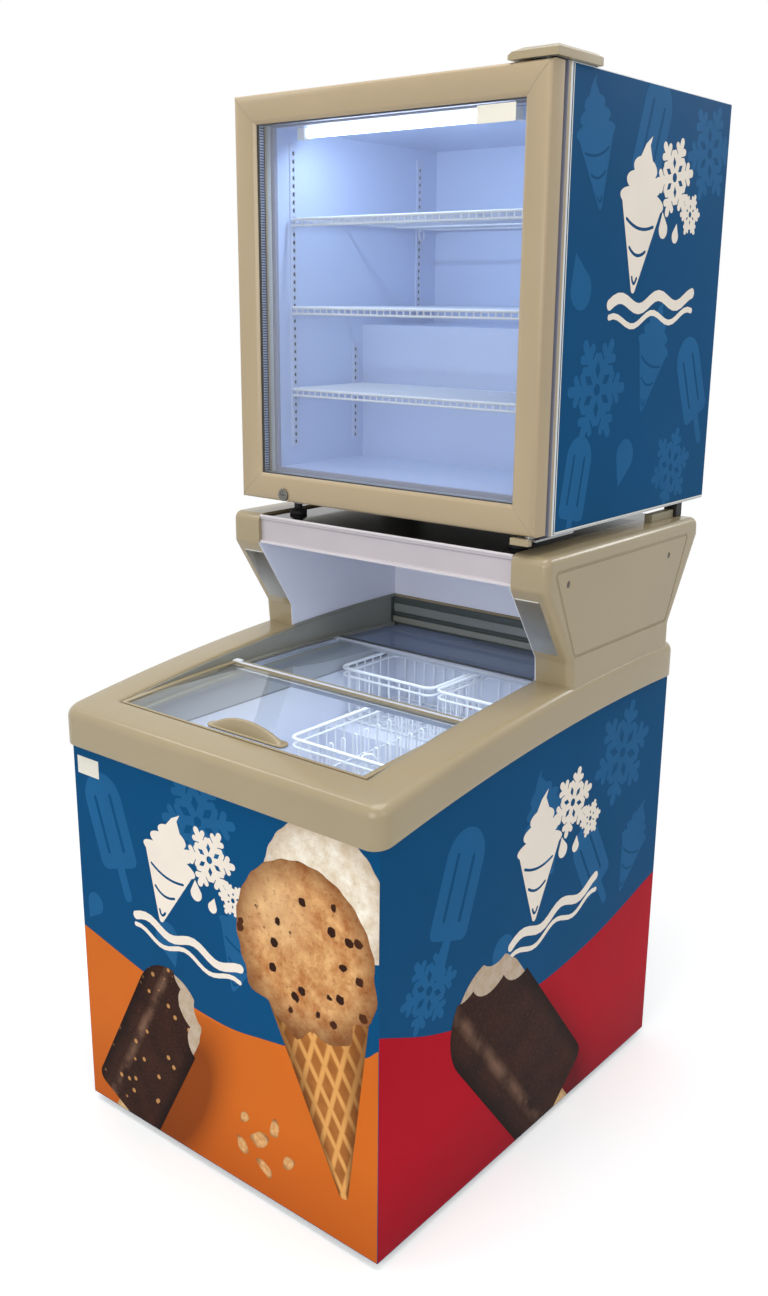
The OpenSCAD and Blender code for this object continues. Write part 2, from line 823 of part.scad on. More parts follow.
module fan_blades() {
    translate([fan_x, -fan_y, fan_z]) rotate([-90, 0, 0]) difference() {
        union() {
            translate([0, 0, 2]) cylinder(h = 16, r = fan_hub_r);
            for (a = [0:72:288]) rotate([0, 0, a]) translate([0, 0, 10]) rotate([28, 0, 0])
                block([fan_hub_r - 4, -14, -1], [fan_r, 14, 1]);
        }
        translate([0, 0, -1]) cylinder(h = 14, r = fan_shaft_r + 0.05);
    }
}

module chest_fan() {
    color("#c8ccd0") place() translate([0, chest_d - sheet_t, sheet_t]) fan_blades();
}

module upper_fan() {
    color("#c8ccd0") place() translate([0, body_back - sheet_t, up_z + sheet_t]) fan_blades();
}

// A louvred plate with plain ground on the right for the controls
module grille(half, z0, z1) {
    difference() {
        polygon([[-half, z0], [half, z0], [half, z1], [-half, z1]]);
        for (z = [z0 + 14:louvre_pitch:z1 - 14]) for (c = [0:2]) {
            w = (half + control_x - 36) / 3;
            translate([20 - half + c * (w + 4), z]) square([w - 8, louvre_h]);
        }
        translate([knob_x, z0 + knob_z]) circle(r = knob_shaft_r + fit);
        translate([knob_x - inlet_w / 2, z0 + inlet_z]) square([inlet_w, inlet_h]);
    }
}

module rear_grilles() {
    color("#d9dcde") place() {
        along_y(chest_d - sheet_t, chest_d)
            grille(machine_half - fit, sheet_t + fit, machine_top - fit);
        difference() {
            along_y(body_back - sheet_t, body_back)
                grille(up_machine_half - fit, up_z + sheet_t + fit, up_machine_top - fit);
            block([knob_x - switch_w / 2, body_back - 5, up_z + switch_z],
                [knob_x + switch_w / 2, body_back + 5, up_z + switch_z + switch_h]);
        }
    }
}

module knob() {
    rotate([-90, 0, 0]) {
        difference() {
            cylinder(h = knob_out - 0.5, r = knob_r);
            translate([0, 0, knob_out - 2]) cylinder(h = 5, r = knob_r - 3);
        }
        block([-2, -knob_r + 1, 1], [2, knob_r - 1, knob_out - 0.5]);
        translate([0, 0, -14]) cylinder(h = 15, r = knob_shaft_r);
    }
}

module chest_thermostat() {
    color("#202224") place()
        translate([knob_x, chest_d + 0.5, sheet_t + fit + knob_z]) knob();
}

module upper_thermostat() {
    color("#202224") place()
        translate([knob_x, body_back + 0.5, up_z + sheet_t + fit + knob_z]) knob();
}

// The rocker lies tipped one way at rest and turns about the middle of its opening
module lamp_switch() {
    a = switch_turn / 2;
    color("#1c1d1f") place() translate([knob_x, body_back - 2, up_z + switch_z + switch_h / 2])
        rotate([a, 0, 0]) along_x(slide - switch_w / 2, switch_w / 2 - slide)
            polygon([[-6, -switch_h / 2 + 3], [4, -switch_h / 2 + 1.2], [2.5, 0],
                [4, switch_h / 2 - 1.2], [-6, switch_h / 2 - 3]]);
}

module inlet_block() {
    difference() {
        block([fit - inlet_w / 2, -18, fit], [inlet_w / 2 - fit, 3, inlet_h - fit]);
        block([3 - inlet_w / 2, -12, 3], [inlet_w / 2 - 3, 4, inlet_h - 3]);
    }
    for (i = [-1, 0, 1]) block([i * 7 - 1, -13, inlet_h / 2 - 2 + abs(i) * 2 - 1],
        [i * 7 + 1, -2, inlet_h / 2 + 2 + abs(i) * 2 - 1]);
}

module power_inlets() {
    color("#1c1d1f") place() {
        translate([knob_x, chest_d, sheet_t + fit + inlet_z]) inlet_block();
        translate([knob_x, body_back, up_z + sheet_t + fit + inlet_z]) inlet_block();
    }
}

module drain_plug() {
    color("#8a8f96") place() translate([drain_x, drain_y, floor_foam + liner_t]) {
        translate([0, 0, fit]) cylinder(h = 4, r = drain_r + 5);
        translate([0, 0, -18]) cylinder(h = 19, r = drain_r - fit);
        translate([0, 0, 4]) cylinder(h = 10, r1 = 4, r2 = 5.5);
    }
}

// Canopy

function rounded(raw, radii) = [for (i = [0:len(raw) - 1])
    let (n = len(raw), a = raw[(i + n - 1) % n], c = raw[(i + 1) % n],
         ring = radii[i] == 0 ? [raw[i]] : round_corner(a, raw[i], c, radii[i], 3))
    for (p = ring) p];

// Side outline of a bracket, from its front top edge down and round to its back top edge
function canopy_outline(low) = rounded(
    [[canopy_front, canopy_top], [canopy_front, canopy_top - face_drop],
     [canopy_front + neck_back, canopy_top - neck_drop], [canopy_front + base_back, low],
     [rear_base, low], [rear_base - 5, canopy_top - rear_neck_drop],
     [canopy_back + 2, canopy_top - rear_bend_drop], [canopy_back, canopy_top]],
    [corner_r, corner_r, corner_r, 0, 0, corner_r, corner_r, corner_r]);
outline_low = seam_top - 20;
outline = canopy_outline(outline_low);

// All that lies under the top frame's upper face
module frame_ground(over) {
    along_x(-half_w - 40, half_w + 40) under(seam_line(canopy_front - 60, chest_d + 60, frame_h + over));
}

// The sloping face's recess and the plate that fills it, between two depths
module slope_strip(x0, x1, out, deep) {
    b = [canopy_front, canopy_top - face_drop];
    c = [canopy_front + neck_back, canopy_top - neck_drop];
    e0 = b + (c - b) * 0.13;
    e1 = b + (c - b) * 0.9;
    n = left_normal(unit(c - b));
    along_x(x0, x1) polygon([e0 - n * out, e1 - n * out, e1 + n * deep, e0 + n * deep]);
}

module screw_places() {
    for (i = [0, 1]) translate([0, screw_y[i], canopy_top - screw_drop[i]]) rotate([0, 90, 0])
        children();
}

// A shape whose outer edges along the top, the front and the back are rounded
module soft_edged() {
    high = canopy_top;
    r = bracket_r;
    ends = [canopy_front, canopy_back + 2];
    intersection() {
        children();
        along_y(ends[0] - 1, ends[1] + 1) polygon(rounded([[canopy_inner - 1, 0],
            [canopy_half, 0], [canopy_half, high], [canopy_inner - 1, high]], [0, 0, r, 0]));
        linear_extrude(high + 1) polygon(rounded([[canopy_inner - 1, ends[0]],
            [canopy_half, ends[0]], [canopy_half, ends[1]], [canopy_inner - 1, ends[1]]],
            [0, r, r, 0]));
    }
}

module bracket() {
    difference() {
        soft_edged() along_x(canopy_inner, canopy_half) polygon(outline);
        along_x(canopy_inner - 1, canopy_half - bracket_wall)
            polygon(inset(canopy_outline(outline_low - 20), bracket_wall));
        slope_strip(canopy_inner - 1, canopy_inner + recess_w, 2, recess);
        screw_places() {
            cylinder(h = canopy_half + 1, r = screw_r + 0.2);
            translate([0, 0, canopy_half - 2.5]) cylinder(h = 5, r = screw_head_r + fit);
        }
        frame_ground(fit);
    }
}

module bracket_right() {
    color(beige) place() bracket();
}

module bracket_left() {
    color(beige) place() mirror([1, 0, 0]) bracket();
}

module bracket_screws() {
    color("#5d5e5c") place() both_sides() screw_places() {
        translate([0, 0, plate_x]) cylinder(h = canopy_half - 2.5 - plate_x, r = screw_r);
        translate([0, 0, canopy_half - 2.5]) cylinder(h = 1.6, r = screw_head_r);
    }
}

// Side plates inside the brackets, the beams that carry the glass, and the two tie bars
module canopy_frame() {
    color("#c9bf9f") place() {
        difference() {
            union() {
                both_sides() along_x(plate_x, plate_x + plate_t)
                    polygon(inset(canopy_outline(outline_low - 20), bracket_wall + 2));
                for (y = beam_y) block([-plate_x - 1, y, ceiling_z],
                    [plate_x + 1, y + beam_w, canopy_glass_z - canopy_glass_t]);
            }
            both_sides() screw_places() cylinder(h = canopy_half, r = screw_r + 0.1);
            frame_ground(fit);
        }
        both_sides() block([rear_foot_x - tie_w / 2, rear_foot_y - tie_from, canopy_top],
            [rear_foot_x + tie_w / 2, rear_foot_y - tie_to, canopy_top + tie_h]);
    }
}

// White sheets that line the hollow, the back sheet and the two plates on the slopes
module canopy_lining() {
    back = opening_end + 1;
    color("#dfe4ee") place() {
        both_sides() difference() {
            along_x(canopy_inner - lining_t, canopy_inner) polygon(inset(outline, fit));
            block([0, -1, canopy_top - fascia_h - 4 - fit],
                [chest_w, canopy_front + fascia_in + fascia_t + fit, canopy_top + 1]);
            block([0, 0, ceiling_z - lining_t], [chest_w, chest_d * 2, canopy_top + 1]);
            block([0, back, 0], [chest_w, chest_d * 2, canopy_top + 1]);
            frame_ground(fit);
        }
        block([-canopy_inner, canopy_front + fascia_in + fascia_t, ceiling_z - lining_t],
            [canopy_inner, back, ceiling_z]);
        difference() {
            block([-canopy_inner, back, seam_top], [canopy_inner, back + lining_t, ceiling_z]);
            frame_ground(fit);
        }
        difference() {
            along_x(fit - canopy_inner, canopy_inner - fit) difference() {
                polygon(inset(outline, 2));
                polygon(inset(outline, 2 + lining_t));
            }
            block([-chest_w, 0, 0], [chest_w, rear_base - 25, canopy_top + 1]);
            block([-chest_w, 0, canopy_glass_z - canopy_glass_t],
                [chest_w, chest_d * 2, canopy_top + 1]);
            frame_ground(fit);
        }
        both_sides() slope_strip(canopy_inner + fit, canopy_inner + recess_w - fit, 0, recess);
    }
}

module fascia() {
    y = canopy_front + fascia_in;
    z = canopy_top - fascia_h - 4;
    color("#d9cfd2") place() along_x(fit - canopy_inner, canopy_inner - fit) polygon([
        [y - 3, z], [y + fascia_t, z], [y + fascia_t, canopy_glass_z - canopy_glass_t],
        [canopy_glass_front - fit, canopy_glass_z - canopy_glass_t],
        [canopy_glass_front - fit, canopy_glass_z], [y - 2, canopy_glass_z],
        [y - 2, canopy_glass_z - 5], [y, canopy_glass_z - 7], [y, z + 5], [y - 3, z + 4]]);
}

module canopy_glass() {
    color("#1d1712") place() block([fit - canopy_inner, canopy_glass_front,
        canopy_glass_z - canopy_glass_t], [canopy_inner - fit, canopy_glass_end, canopy_glass_z]);
}

// Upright cabinet

module upper_feet() {
    color("#202122") place() both_sides() {
        translate([up_foot_x, up_foot_y, canopy_glass_z]) rotate_extrude() polygon([[0, 0],
            [15, 0], [15, 6], [7, 11], [7, up_gap], [0, up_gap]]);
        block([rear_foot_x - 12, rear_foot_y - 11, canopy_top],
            [rear_foot_x + 12, rear_foot_y + 9, up_z]);
    }
}

module upper_shell() {
    w = up_half - skin_t;
    color("#f2f3f3") place() difference() {
        block([-w, shell_front, up_z], [w, body_back, up_top]);
        block([sheet_t - w, shell_front - 1, up_z + sheet_t],
            [w - sheet_t, body_back - sheet_t, up_top - sheet_t]);
        block([-up_machine_half, body_back - 5, up_z + sheet_t],
            [up_machine_half, body_back + 5, up_machine_top]);
    }
}

module upper_wraps() {
    color(blue) place() both_sides() block([up_half - skin_t, shell_front + edge_strip, up_z + 2],
        [up_half, body_back, up_top - 2]);
}

// The cabinet's inside, grown by a wall all round
module up_space(wall, front) {
    along_x(-in_half - wall, in_half + wall) polygon([[front, in_floor - wall],
        [hump_front + wall, in_floor - wall], [hump_front + wall, hump_top - wall],
        [in_back + wall, hump_top - wall], [in_back + wall, in_top + wall],
        [front, in_top + wall]]);
}

module upper_liner() {
    color(white) place() difference() {
        up_space(liner_t, shell_front);
        up_space(0, shell_front - 1);
    }
}

module upper_foam() {
    w = up_half - skin_t - sheet_t;
    y0 = shell_front + up_coil_front - fit;
    color("#e8dfb8") place() difference() {
        block([-w, shell_front, up_z + sheet_t], [w, body_back - sheet_t, up_top - sheet_t]);
        up_space(liner_t, shell_front - 1);
        block([-up_machine_half, up_machine_front, up_z], [up_machine_half, body_back,
            up_machine_top]);
        block([-in_half - liner_t - coil_d - fit, y0, up_coil_low - coil_d],
            [in_half + liner_t + coil_d + fit, in_back + liner_t + coil_d + fit,
             up_coil_low + up_coil_turns * up_coil_pitch]);
    }
}

module upper_flange() {
    color(beige) place() along_y(body_front, shell_front) difference() {
        translate([-up_half, up_z]) square([up_half * 2, up_h]);
        translate([-in_half, in_floor]) square([2 * in_half, in_top - in_floor]);
    }
}

// Door: a rounded frame with a groove inside for the double pane
module door_frame() {
    t = door_t;
    w = door_bar;
    section = [[0, t], [0, 7], [1.5, 3.4], [5, 1.1], [12, 0], [24, 0.8], [35, 3.4], [w - 2, 6.5],
        [w, 9], [w - 8, 9], [w - 8, 9 + 2 * pane_t + pane_gap], [w, 9 + 2 * pane_t + pane_gap],
        [w, t]];
    color(beige) place() difference() {
        mitred(section, up_half, door_low, door_high, door_front);
        translate([hinge_x, hinge_y, door_low - 1]) cylinder(h = bore_deep + 1, r = pin_r + pin_gap);
        translate([hinge_x, hinge_y, door_high - bore_deep])
            cylinder(h = bore_deep + 1, r = pin_r + pin_gap);
        translate([lock_x, door_front - 5, door_low + lock_up]) rotate([-90, 0, 0])
            cylinder(h = t + 10, r = lock_r);
    }
}

module pane(y) {
    low = door_low + door_bar - 8 + fit;
    high = door_high - door_bar + 8 - fit;
    block([-pane_half, y, low], [pane_half, y + pane_t, high]);
}

module door_glass() {
    color("#bfd4dc", 0.35) place() {
        pane(pane_front);
        pane(pane_front + pane_t + pane_gap);
    }
}

module door_spacer() {
    color("#b9bcbf") place() mitred([[1, 0], [1, pane_gap], [15, pane_gap], [15, 0]],
        pane_half, door_low + door_bar - 8, door_high - door_bar + 8, pane_front + pane_t);
}

module door_gasket() {
    g = gasket_gap - fit;
    i = gasket_in;
    color("#d8d8d4") place() mitred([[i, 0], [i + 3, g * 0.3], [i, g * 0.6], [i, g],
        [i + gasket_w, g], [i + gasket_w, g * 0.6], [i + gasket_w - 3, g * 0.3],
        [i + gasket_w, 0]], up_half, door_low, door_high, door_front + door_t);
}

module door_label() {
    x = up_half - door_bar - plate_in;
    z = up_top - door_bar - plate_drop;
    color("#efe9dc") place() block([x - plate_w, pane_front - label_t, z - plate_h],
        [x, pane_front, z]);
}

module lock_body() {
    color("#b9b9b4") place() translate([lock_x, door_front, door_low + lock_up])
        rotate([-90, 0, 0]) difference() {
            union() {
                translate([0, 0, -3]) cylinder(h = 3, r = lock_r + 1.5);
                translate([0, 0, -1]) cylinder(h = door_t + 2, r = lock_r - fit);
            }
            translate([0, 0, -5]) cylinder(h = door_t + 10, r = plug_r);
        }
}

// The plug carries a keyway in front and the cam behind; the cam lies flat when unlocked
module lock_plug() {
    color("#8f8f8a") place() translate([lock_x, door_front, door_low + lock_up])
        rotate([-90, 0, 0]) {
            difference() {
                translate([0, 0, -2.5]) cylinder(h = door_t + 8.5, r = plug_r - fit);
                block([-3.6, -0.8, -4], [3.6, 0.8, 3]);
            }
            block([-cam_l, -2.6, door_t + 4.6], [2, 2.6, door_t + 6.6]);
        }
}

module hinge_leaf(z0) {
    block([up_half - leaf_w, hinge_y - 10, z0], [up_half, body_front + leaf_back, z0 + leaf_t]);
}

// Leaves above and below the door with their pins, their bolts, and the keeper of the lock
module door_hinges() {
    color("#9a9c9e") place() {
        hinge_leaf(up_top);
        translate([hinge_x, hinge_y, door_high - bore_deep + 1])
            cylinder(h = up_top + leaf_t - door_high + bore_deep - 1, r = pin_r);
        hinge_leaf(up_z - leaf_t);
        translate([hinge_x, hinge_y, up_z - leaf_t])
            cylinder(h = door_low - up_z + leaf_t + bore_deep - 1, r = pin_r);
        translate([hinge_x, hinge_y, up_z - 1]) cylinder(h = door_low - up_z + 1 - fit, r = 8);
        for (y = [body_front + leaf_back - bolt_in[0], body_front + leaf_back - bolt_in[1]]) {
            translate([hinge_x, y, up_top + leaf_t - 1]) cylinder(h = 5, r = 6, $fn = 6);
            translate([hinge_x, y, up_z - leaf_t - 4]) cylinder(h = 5, r = 6, $fn = 6);
        }
        block([lock_x - keeper_half, keeper_y, up_z - leaf_t],
            [lock_x + keeper_half, body_front + keeper_l, up_z]);
        block([lock_x - keeper_half, keeper_y, up_z - leaf_t],
            [lock_x + keeper_half, keeper_y + 2, up_z + keeper_h]);
    }
}

// Caps over the upper leaf and in front of the lower one
module hinge_cover() {
    x0 = up_half - cover_w;
    x1 = up_half + 8;
    y0 = door_front;
    y1 = body_front + leaf_back + cover_lap;
    z0 = up_top + fit;
    h = cover_h;
    color(beige) place() {
        difference() {
            intersection() {
                along_x(x0, x1) polygon([[y0, z0], [y1, z0], [y1, z0 + h - 4], [y1 - 8, z0 + h],
                    [y0 + 14, z0 + h], [y0, z0 + h - 6]]);
                along_y(y0, y1) polygon([[x0, z0], [x1, z0], [x1, z0 + h - 5],
                    [x1 - 8, z0 + h], [x0 + 16, z0 + h], [x0, z0 + h - 10]]);
            }
            block([up_half - leaf_w - 1, y0 + 2, z0 - 1], [up_half + 1, y1 - 2, z0 + 11]);
        }
        block([up_half - 39, door_front - 3, up_z - 9], [up_half - 7, hinge_y - 10 - fit, up_z + 1]);
    }
}

module lamp_tube() {
    color("#f4f7ff") place() translate([-lamp_half, lamp_y, in_top - lamp_d / 2 - fit])
        rotate([0, 90, 0]) cylinder(h = 2 * lamp_half, r = lamp_d / 2);
}

module lamp_holders() {
    color(white) place() both_sides() block([lamp_half, lamp_y - lamp_d / 2 - 2,
        in_top - lamp_d - 3], [lamp_half + holder_w, lamp_y + lamp_d / 2 + 2, in_top]);
}

// Slotted uprights at the front, before the step, and above it at the back
module pilasters() {
    color("#e3e6ea") place() both_sides() for (i = [0:2]) {
        low = i == 2 ? hump_top + upright_on_step : in_floor + upright_low;
        high = i == 1 ? hump_top - upright_under_step : in_top - upright_high;
        c = pilaster_y[i];
        along_x(in_half - pilaster_t, in_half) difference() {
            translate([c - pilaster_w / 2, low]) square([pilaster_w, high - low]);
            for (z = [low + 10:slot_pitch:high - 10])
                translate([c - 2.5, z - 3.5]) square([5, 7]);
        }
    }
}

// Each shelf stands on four clips: two at the front, and two at the back or at the step
function shelf_level(k) = up_z + [shelf_low, shelf_mid, shelf_high][k];
function shelf_end(k) = k == 0 ? hump_front - 6 : in_back - 8;

module shelf_clips() {
    color("#c9ced6") place() both_sides() for (k = [0:2])
        for (c = [pilaster_y[0], pilaster_y[k == 0 ? 1 : 2]]) {
            z = shelf_level(k) - shelf_wire - fit;
            block([in_half - pilaster_t - clip_t, c - 4, z - 3], [in_half - pilaster_t, c + 4, z]);
            block([in_half - pilaster_t - 2, c - 4, z - 12], [in_half - pilaster_t, c + 4, z]);
        }
}

module wire_shelf(k) {
    z = shelf_level(k) - shelf_wire / 2;
    x = shelf_half;
    y1 = shelf_end(k);
    n = round(2 * x / shelf_pitch);
    t = wire_d / 2;
    loop(-x, shelf_front, x, y1, z, shelf_wire);
    block([-x, shelf_front - 2, z - shelf_drop - 2], [x, shelf_front + 2, z - shelf_drop + 2]);
    for (q = [0.35, 0.7]) {
        y = shelf_front + (y1 - shelf_front) * q;
        block([-x, y - 2, z - 3], [x, y + 2, z]);
    }
    translate([0, 0, z + 0.6 - t]) linear_extrude(wire_d)
        bars([-x, shelf_front], [x, y1], n, 1, wire_d);
    along_y(shelf_front - t, shelf_front + t)
        bars([-x, z - shelf_drop], [x, z], n, 1, wire_d);
}

module wire_shelves() {
    color(white) place() for (k = [0:2]) wire_shelf(k);
}

chest_shell();
chest_base();
chest_feet();
chest_foam();
chest_liner();
evaporators();
wrap_front();
wrap_sides();
chest_label();
top_frame();
lid_rails();
rear_trim();
front_lid_glass();
front_lid_frame();
front_lid_handle();
rear_lid_glass();
rear_lid_frame();
fixed_glass();
front_basket();
rear_basket_left();
rear_basket_right();
compressors();
condensers();
fan_motors();
chest_fan();
upper_fan();
rear_grilles();
chest_thermostat();
upper_thermostat();
lamp_switch();
power_inlets();
drain_plug();
bracket_left();
bracket_right();
canopy_lining();
fascia();
canopy_glass();
canopy_frame();
bracket_screws();
upper_feet();
upper_shell();
upper_wraps();
upper_foam();
upper_liner();
upper_flange();
door_frame();
door_glass();
door_spacer();
door_gasket();
door_label();
lock_body();
lock_plug();
door_hinges();
hinge_cover();
lamp_tube();
lamp_holders();
pilasters();
shelf_clips();
wire_shelves();
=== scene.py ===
"""Looks of the ice cream merchandising freezer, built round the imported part.

Sizes are in millimetres, measured from the chest's front lower edge as in the part's
source. put() turns them into metres in the part's own frame.
"""
import json
from math import acos, asin, atan2, ceil, copysign, cos, pi, radians, sin, sqrt, tan

import bmesh
import bpy
from mathutils import Matrix, Vector
from mathutils.geometry import delaunay_2d_cdt


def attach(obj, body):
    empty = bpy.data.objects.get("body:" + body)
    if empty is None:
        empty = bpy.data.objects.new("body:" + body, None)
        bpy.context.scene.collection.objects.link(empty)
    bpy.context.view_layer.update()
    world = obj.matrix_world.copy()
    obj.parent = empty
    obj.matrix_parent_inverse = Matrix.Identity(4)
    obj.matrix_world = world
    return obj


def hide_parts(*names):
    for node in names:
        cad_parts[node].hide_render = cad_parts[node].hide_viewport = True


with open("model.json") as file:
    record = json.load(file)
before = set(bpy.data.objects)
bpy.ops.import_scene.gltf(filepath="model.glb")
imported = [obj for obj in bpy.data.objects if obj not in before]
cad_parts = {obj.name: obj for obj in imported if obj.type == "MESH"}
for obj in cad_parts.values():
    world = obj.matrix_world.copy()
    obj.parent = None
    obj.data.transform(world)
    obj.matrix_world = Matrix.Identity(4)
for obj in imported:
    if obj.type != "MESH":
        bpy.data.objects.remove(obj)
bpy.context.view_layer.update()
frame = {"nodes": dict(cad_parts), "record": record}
NODES = frame["nodes"]
BODY = {n: b for b, names in frame["record"]["behaviour"]["bodies"].items() for n in names}
SLOT = {s["node"]: s["material_slot"] for s in frame["record"]["subparts"]}
scene = bpy.context.scene
scene.view_settings.view_transform = "Standard"

MID_Y = 460
FLOOR_GAP = 14


def put(x, y, z):
    return Vector((x, y - MID_Y, z + FLOOR_GAP)) / 1000


def linked(name, data):
    obj = bpy.data.objects.new(name, data)
    scene.collection.objects.link(obj)
    return obj


# Camera, fitted to the photograph: angles in radians, place in metres, lens in millimetres

YAW, PITCH, ROLL = 0.6834, 0.2759, 0.0080
CAMERA_AT = (1.2682, -1.6203, 1.3606)
LENS = 34.904

forward = Vector((-sin(YAW) * cos(PITCH), cos(YAW) * cos(PITCH), -sin(PITCH)))
level = Vector((cos(YAW), sin(YAW), 0))
upward = level.cross(forward)
right = cos(ROLL) * level + sin(ROLL) * upward
up = cos(ROLL) * upward - sin(ROLL) * level
turned = Matrix((right, up, -forward)).transposed().to_4x4()
cam = linked("camera", bpy.data.cameras.new("camera"))
cam.matrix_world = Matrix.Translation(CAMERA_AT) @ turned
cam.data.sensor_width = 36
cam.data.lens = LENS
cam.data.clip_start = 0.02
scene.camera = cam


# Materials. Colours are 0 to 255, or sockets.

MICRO = 1e-6


def linear(rgb):
    def one(v):
        v /= 255
        return v / 12.92 if v <= 0.04045 else ((v + 0.055) / 1.055) ** 2.4
    return tuple(one(v) for v in rgb) + (1.0,)


def scaled(rgb, k):
    return tuple(min(255, v * k) for v in rgb)


class Nodes:
    """The node tree of a material or of the world."""

    def __init__(self, made, ending):
        self.made = made
        made.use_nodes = True
        self.tree = made.node_tree
        self.tree.nodes.clear()
        self.out = self.node(ending).inputs[0]

    def node(self, kind, inputs=None, **props):
        n = self.tree.nodes.new("ShaderNode" + kind)
        for key, value in props.items():
            setattr(n, key, value)
        for key, value in (inputs or {}).items():
            if isinstance(value, bpy.types.NodeSocket):
                self.tree.links.new(value, n.inputs[key])
            else:
                n.inputs[key].default_value = value
        return n

    def get(self, kind, inputs=None, out=0, **props):
        return self.node(kind, inputs, **props).outputs[out]

    def math(self, op, a, b=0.0):
        return self.get("Math", {0: a, 1: b}, operation=op)

    def layer(self, share, below, above):
        return self.get("MixShader", {0: share, 1: below, 2: above})

    def seen_rays(self):
        """1 for what the camera sees, straight or in gloss or through glass."""
        rays = self.node("LightPath").outputs
        seen = rays["Is Camera Ray"]
        for kind in ("Is Glossy Ray", "Is Transmission Ray"):
            seen = self.math("MAXIMUM", seen, rays[kind])
        return seen

    def finish(self, shader):
        self.tree.links.new(shader, self.out)
        return self.made


class Material(Nodes):
    """A material's tree, with short names for the nodes used here."""

    def __init__(self, name):
        super().__init__(bpy.data.materials.new(name), "OutputMaterial")
        self.place = self.get("TexCoord", out="Object")

    def noise(self, scale, detail=3.0, vector=None, rough=0.5):
        return self.get("TexNoise", {"Vector": vector or self.place, "Scale": scale,
                                     "Detail": detail, "Roughness": rough})

    def stretched(self, scale, vector=None):
        return self.get("Mapping", {"Vector": vector or self.place, "Scale": scale})

    def axis(self, k, vector=None):
        return self.get("SeparateXYZ", {0: vector or self.place}, k)

    def times(self, a, b):
        return self.math("MULTIPLY", a, b)

    def between(self, value, low, high, to_low=0.0, to_high=1.0):
        return self.get("MapRange", {0: value, 1: low, 2: high, 3: to_low, 4: to_high})

    def uneven(self, low, high, scale, detail=2.0, vector=None):
        """A value that drifts from place to place."""
        return self.between(self.noise(scale, detail, vector), 0.3, 0.7, low, high)

    def mix(self, share, a, b):
        a, b = (c if isinstance(c, bpy.types.NodeSocket) else linear(c) for c in (a, b))
        return self.get("Mix", {0: share, 6: a, 7: b}, 2, data_type="RGBA")

    def tones(self, value, a, b, low=0.3, high=0.7):
        """From colour a to colour b, as the value goes from low to high."""
        return self.mix(self.between(value, low, high), a, b)

    def shade(self, color, value, low, high, amount, other):
        """The colour with another laid over it, by up to the amount, as the value goes
        from low to high."""
        return self.mix(self.between(value, low, high, 0.0, amount), color, other)

    def bump(self, height, distance, normal=None):
        inputs = {"Height": height, "Distance": distance, "Strength": 1.0}
        if normal:
            inputs["Normal"] = normal
        return self.get("Bump", inputs)

    def principled(self, color, rough, normal=None, **sockets):
        inputs = {"Base Color": color, "Roughness": rough}
        if normal:
            inputs["Normal"] = normal
        inputs.update({k.replace("_", " "): v for k, v in sockets.items()})
        return self.finish(self.get("BsdfPrincipled", inputs))


def surface(name, rgb, rough, vary, grain, depth, soil=0, wave=0, size=6.0, coat=0.0,
            rough_vary=0.06, **sockets):
    """Colour with a slow drift, uneven gloss, and a grain or a slow waviness in relief."""
    m = Material(name)
    color = m.tones(m.noise(size, 4.0), scaled(rgb, 1 - vary), scaled(rgb, 1 + vary))
    if soil:
        color = m.shade(color, m.noise(38.0, 6.0, rough=0.7), 0.62, 0.8, soil,
                        scaled(rgb, 0.72))
    gloss = m.uneven(rough - rough_vary / 2, rough + rough_vary / 2, size * 2.5)
    normal = m.bump(m.noise(grain, 2.0), depth * MICRO) if grain else None
    if wave:
        normal = m.bump(m.noise(14.0, 1.0), wave * MICRO, normal)
    return m.principled(color, gloss, normal, Coat_Weight=coat, **sockets)


def metal(name, rgb, rough, along, metallic=1.0, vary=0.08, depth=20):
    """Drawn or brushed metal: fine lines across the chosen axis, in colour, gloss and relief."""
    m = Material(name)
    lines = m.noise(1.0, 3.0, m.stretched(along))
    color = m.mix(lines, scaled(rgb, 1 - vary), scaled(rgb, 1 + vary))
    color = m.shade(color, m.noise(9.0, 4.0), 0.3, 0.75, 0.35, scaled(rgb, 0.8))
    return m.principled(color, m.between(lines, 0.2, 0.8, rough - 0.07, rough + 0.09),
                        m.bump(lines, depth * MICRO), Metallic=metallic)


def glazing(name, tint, gloss, veil, veil_rgb=(200, 210, 220)):
    """Clear glass: see-through with a reflection that grows at grazing angles, no caustics,
    and a faint uneven film."""
    m = Material(name)
    through = m.get("BsdfTransparent", {"Color": linear(tint)})
    sheen = m.get("BsdfGlossy", {"Color": (1, 1, 1, 1),
                                 "Roughness": m.uneven(gloss * 0.5, gloss * 1.6, 5.0, 3.0)})
    front = m.math("SUBTRACT", 1.0, m.get("NewGeometry", out="Backfacing"))
    clear = m.layer(m.times(m.get("Fresnel", {"IOR": 1.5}), front), through, sheen)
    film = m.get("BsdfDiffuse", {"Color": linear(veil_rgb)})
    share = m.between(m.noise(3.0, 4.0), 0.35, 0.75, veil * 0.5, veil * 1.4)
    in_shadow = m.get("LightPath", out="Is Shadow Ray")
    return m.finish(m.layer(in_shadow, m.layer(share, clear, film), through))


def glowing(name, rgb, strength):
    """A lit tube: brighter in its middle and a little darker at its ends."""
    m = Material(name)
    ends = m.between(m.math("ABSOLUTE", m.axis(0)), 0.15, 0.2, 1.0, 0.35)
    glow = m.times(m.times(ends, m.uneven(0.9, 1.0, 30.0)), strength)
    return m.principled(linear(rgb), 0.3, Emission_Color=linear(rgb), Emission_Strength=glow)


